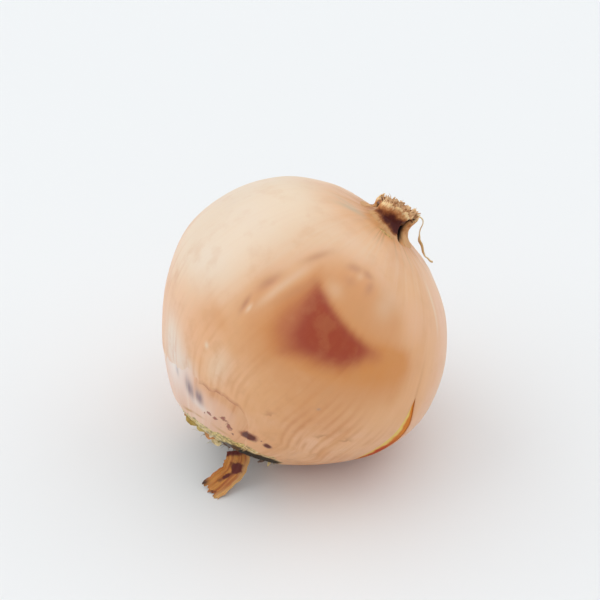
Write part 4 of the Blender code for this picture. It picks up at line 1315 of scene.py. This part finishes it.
def skin_strip():
    """The shred of dry skin from the root rim to the table: a band along its path, cupped as the square of
    the distance from its middle, with a few ribs, wavy sides and a ragged tip."""
    rows, columns = 70, 26
    path = smooth_curve(STRIP_PATH, 40)
    path = path[np.linspace(0, len(path) - 1, rows).astype(int)]
    share = np.linspace(0, 1, rows)[:, None]
    across = np.linspace(-1, 1, columns)[None, :]
    widths = np.interp(share, np.linspace(0, 1, len(STRIP_WIDTHS)), STRIP_WIDTHS)
    right = across > 0
    widths = widths + 0.3 * np.sin(17 * share + 2 * right) + 0.18 * np.sin(39 * share + 3 * right)
    along, _, _ = frames_along(path)
    start, end = (np.array(a) for a in STRIP_ACROSS)
    side = start + (end - start) * share
    side -= along * (along * side).sum(axis=1, keepdims=True)
    side /= np.linalg.norm(side, axis=1, keepdims=True)
    face = np.cross(side, along)
    ragged = 0.5 * np.sin(9 * across + 1) + 0.35 * np.sin(23 * across)
    stretch = ragged * smooth_step(share, 0.8, 1.0)
    cup = 0.7 * across**2 + 0.22 * np.sin(3 * across + 7 * share) + 0.09 * np.sin(15 * across + 2 * share)
    sheet = path[:, None] + side[:, None] * (0.5 * widths * across)[..., None]
    sheet = sheet + along[:, None] * stretch[..., None]
    outer = sheet + face[:, None] * (cup + 0.13)[..., None]
    inner = sheet + face[:, None] * (cup - 0.13)[..., None]
    for grid, least in ((outer, 0.12), (inner, 0.02)):
        grid[..., 2] = np.maximum(grid[..., 2], least)
    points, faces = shell(outer * MM, inner * MM)
    wave = 0.15 * np.sin(11 * share + 4 * across)
    upper_right = smooth_step(share, 0.0, 0.3) * smooth_step(-share, -0.35, 0) * (across > 0.2)

    def blot(at, long, middle, wide):
        return np.exp(-(((share - at) / long) ** 2 + ((across - middle) / wide) ** 2))

    bruise_and_shade = 1.15 * blot(0.36, 0.12, -0.15, 0.6) + 0.85 * blot(0.6, 0.2, 0.05 + 1.3 * (share - 0.6), 0.24)
    # The last term is painted shade: the top of the strip, in the gap under the bulb, is darkened
    bruise_and_shade = bruise_and_shade + 0.6 * blot(0.98, 0.04, -0.1, 0.5) + 0.95 * smooth_step(-share, -0.2, -0.02)
    thin = np.clip(smooth_step(-across + wave, 0.45, 0.85) + 0.6 * upper_right, 0, 1)
    marks = {"thin": thin, "bruise_and_shade": bruise_and_shade, "tip": blot(0.97, 0.07, 0.85, 0.3)}
    marks = {key: on_both(value, (rows, columns)) for key, value in marks.items()}
    uv = sheet_map(0.04 * across, 0.2 * share, (rows, columns))
    make("skin_strip", points, faces, strip_material(), "skin_strip", marks, uv)


# ---------------------------------------------------------------- table, light and camera
def table_top():
    """The table under the onion: one square, whose top is the height 0."""
    mesh = bpy.data.meshes.new("table_top")
    half = 4.0
    corners = [(-half, -half, 0), (half, -half, 0), (half, half, 0), (-half, half, 0)]
    mesh.from_pydata(corners, [], [(0, 1, 2, 3)])
    made, shader, _ = surface("pale_table", 0.6)
    shader.inputs["Base Color"].default_value = (0.828, 0.822, 0.812, 1)
    mesh.materials.append(made)
    piece = bpy.data.objects.new("table_top", mesh)
    bpy.context.scene.collection.objects.link(piece)


def soft_sun(name, towards, strength, spread):
    """A very wide soft light from one side, as from a large window: `spread` is its width in degrees."""
    light = bpy.data.lights.new(name, "SUN")
    light.energy, light.angle = strength, math.radians(spread)
    lamp = bpy.data.objects.new(name, light)
    lamp.rotation_euler = Vector(towards).to_track_quat("Z", "Y").to_euler()
    bpy.context.scene.collection.objects.link(lamp)


def studio():
    """A pale room that lights the onion softly, and four wide suns as its windows."""
    world = bpy.data.worlds.new("pale_room")
    bpy.context.scene.world = world
    world.use_nodes = True
    w = Wires(world.node_tree)
    background = world.node_tree.nodes["Background"]
    seen = w.node("ShaderNodeLightPath").outputs["Is Camera Ray"]
    background.inputs["Strength"].default_value = 1.0
    w.put(background.inputs["Color"], w.mix(seen, (0.46, 0.50, 0.535), (0.845, 0.875, 0.885)))
    soft_sun("window_left", (-0.8, 0.1, 0.55), 0.85, 70)
    soft_sun("overhead", (0, 0.4, 0.92), 0.85, 100)
    soft_sun("window_right", (0.85, 0.1, 0.5), 0.6, 70)
    soft_sun("front", (-0.2, -0.6, 0.72), 0.5, 90)


def camera():
    """The lens looks down at the onion from the front; it aims a little above the middle of the bulb."""
    down = math.radians(35)
    gaze = Vector((0, math.cos(down), -math.sin(down)))
    up = Vector((0, math.sin(down), math.cos(down)))
    aim = BULB_CENTRE + Vector((-1.55, 0, 0)) * MM + up * 6.0 * MM
    distance = 0.45
    lens = bpy.data.cameras.new("camera")
    lens.lens, lens.sensor_width = 95.85, 36
    lens.clip_start = 0.01
    made = bpy.data.objects.new("camera", lens)
    made.location = aim - gaze * distance
    made.rotation_euler = gaze.to_track_quat("-Z", "Y").to_euler()
    bpy.context.scene.collection.objects.link(made)
    bpy.context.scene.camera = made


outer_skin()
split_floor()
inner_skin()
neck_sheaths()
leaf_shreds()
thread()
root_plate()
dead_roots()
root_collar()
skin_strip()
table_top()
studio()
camera()
bpy.context.scene.view_settings.view_transform = "Standard"
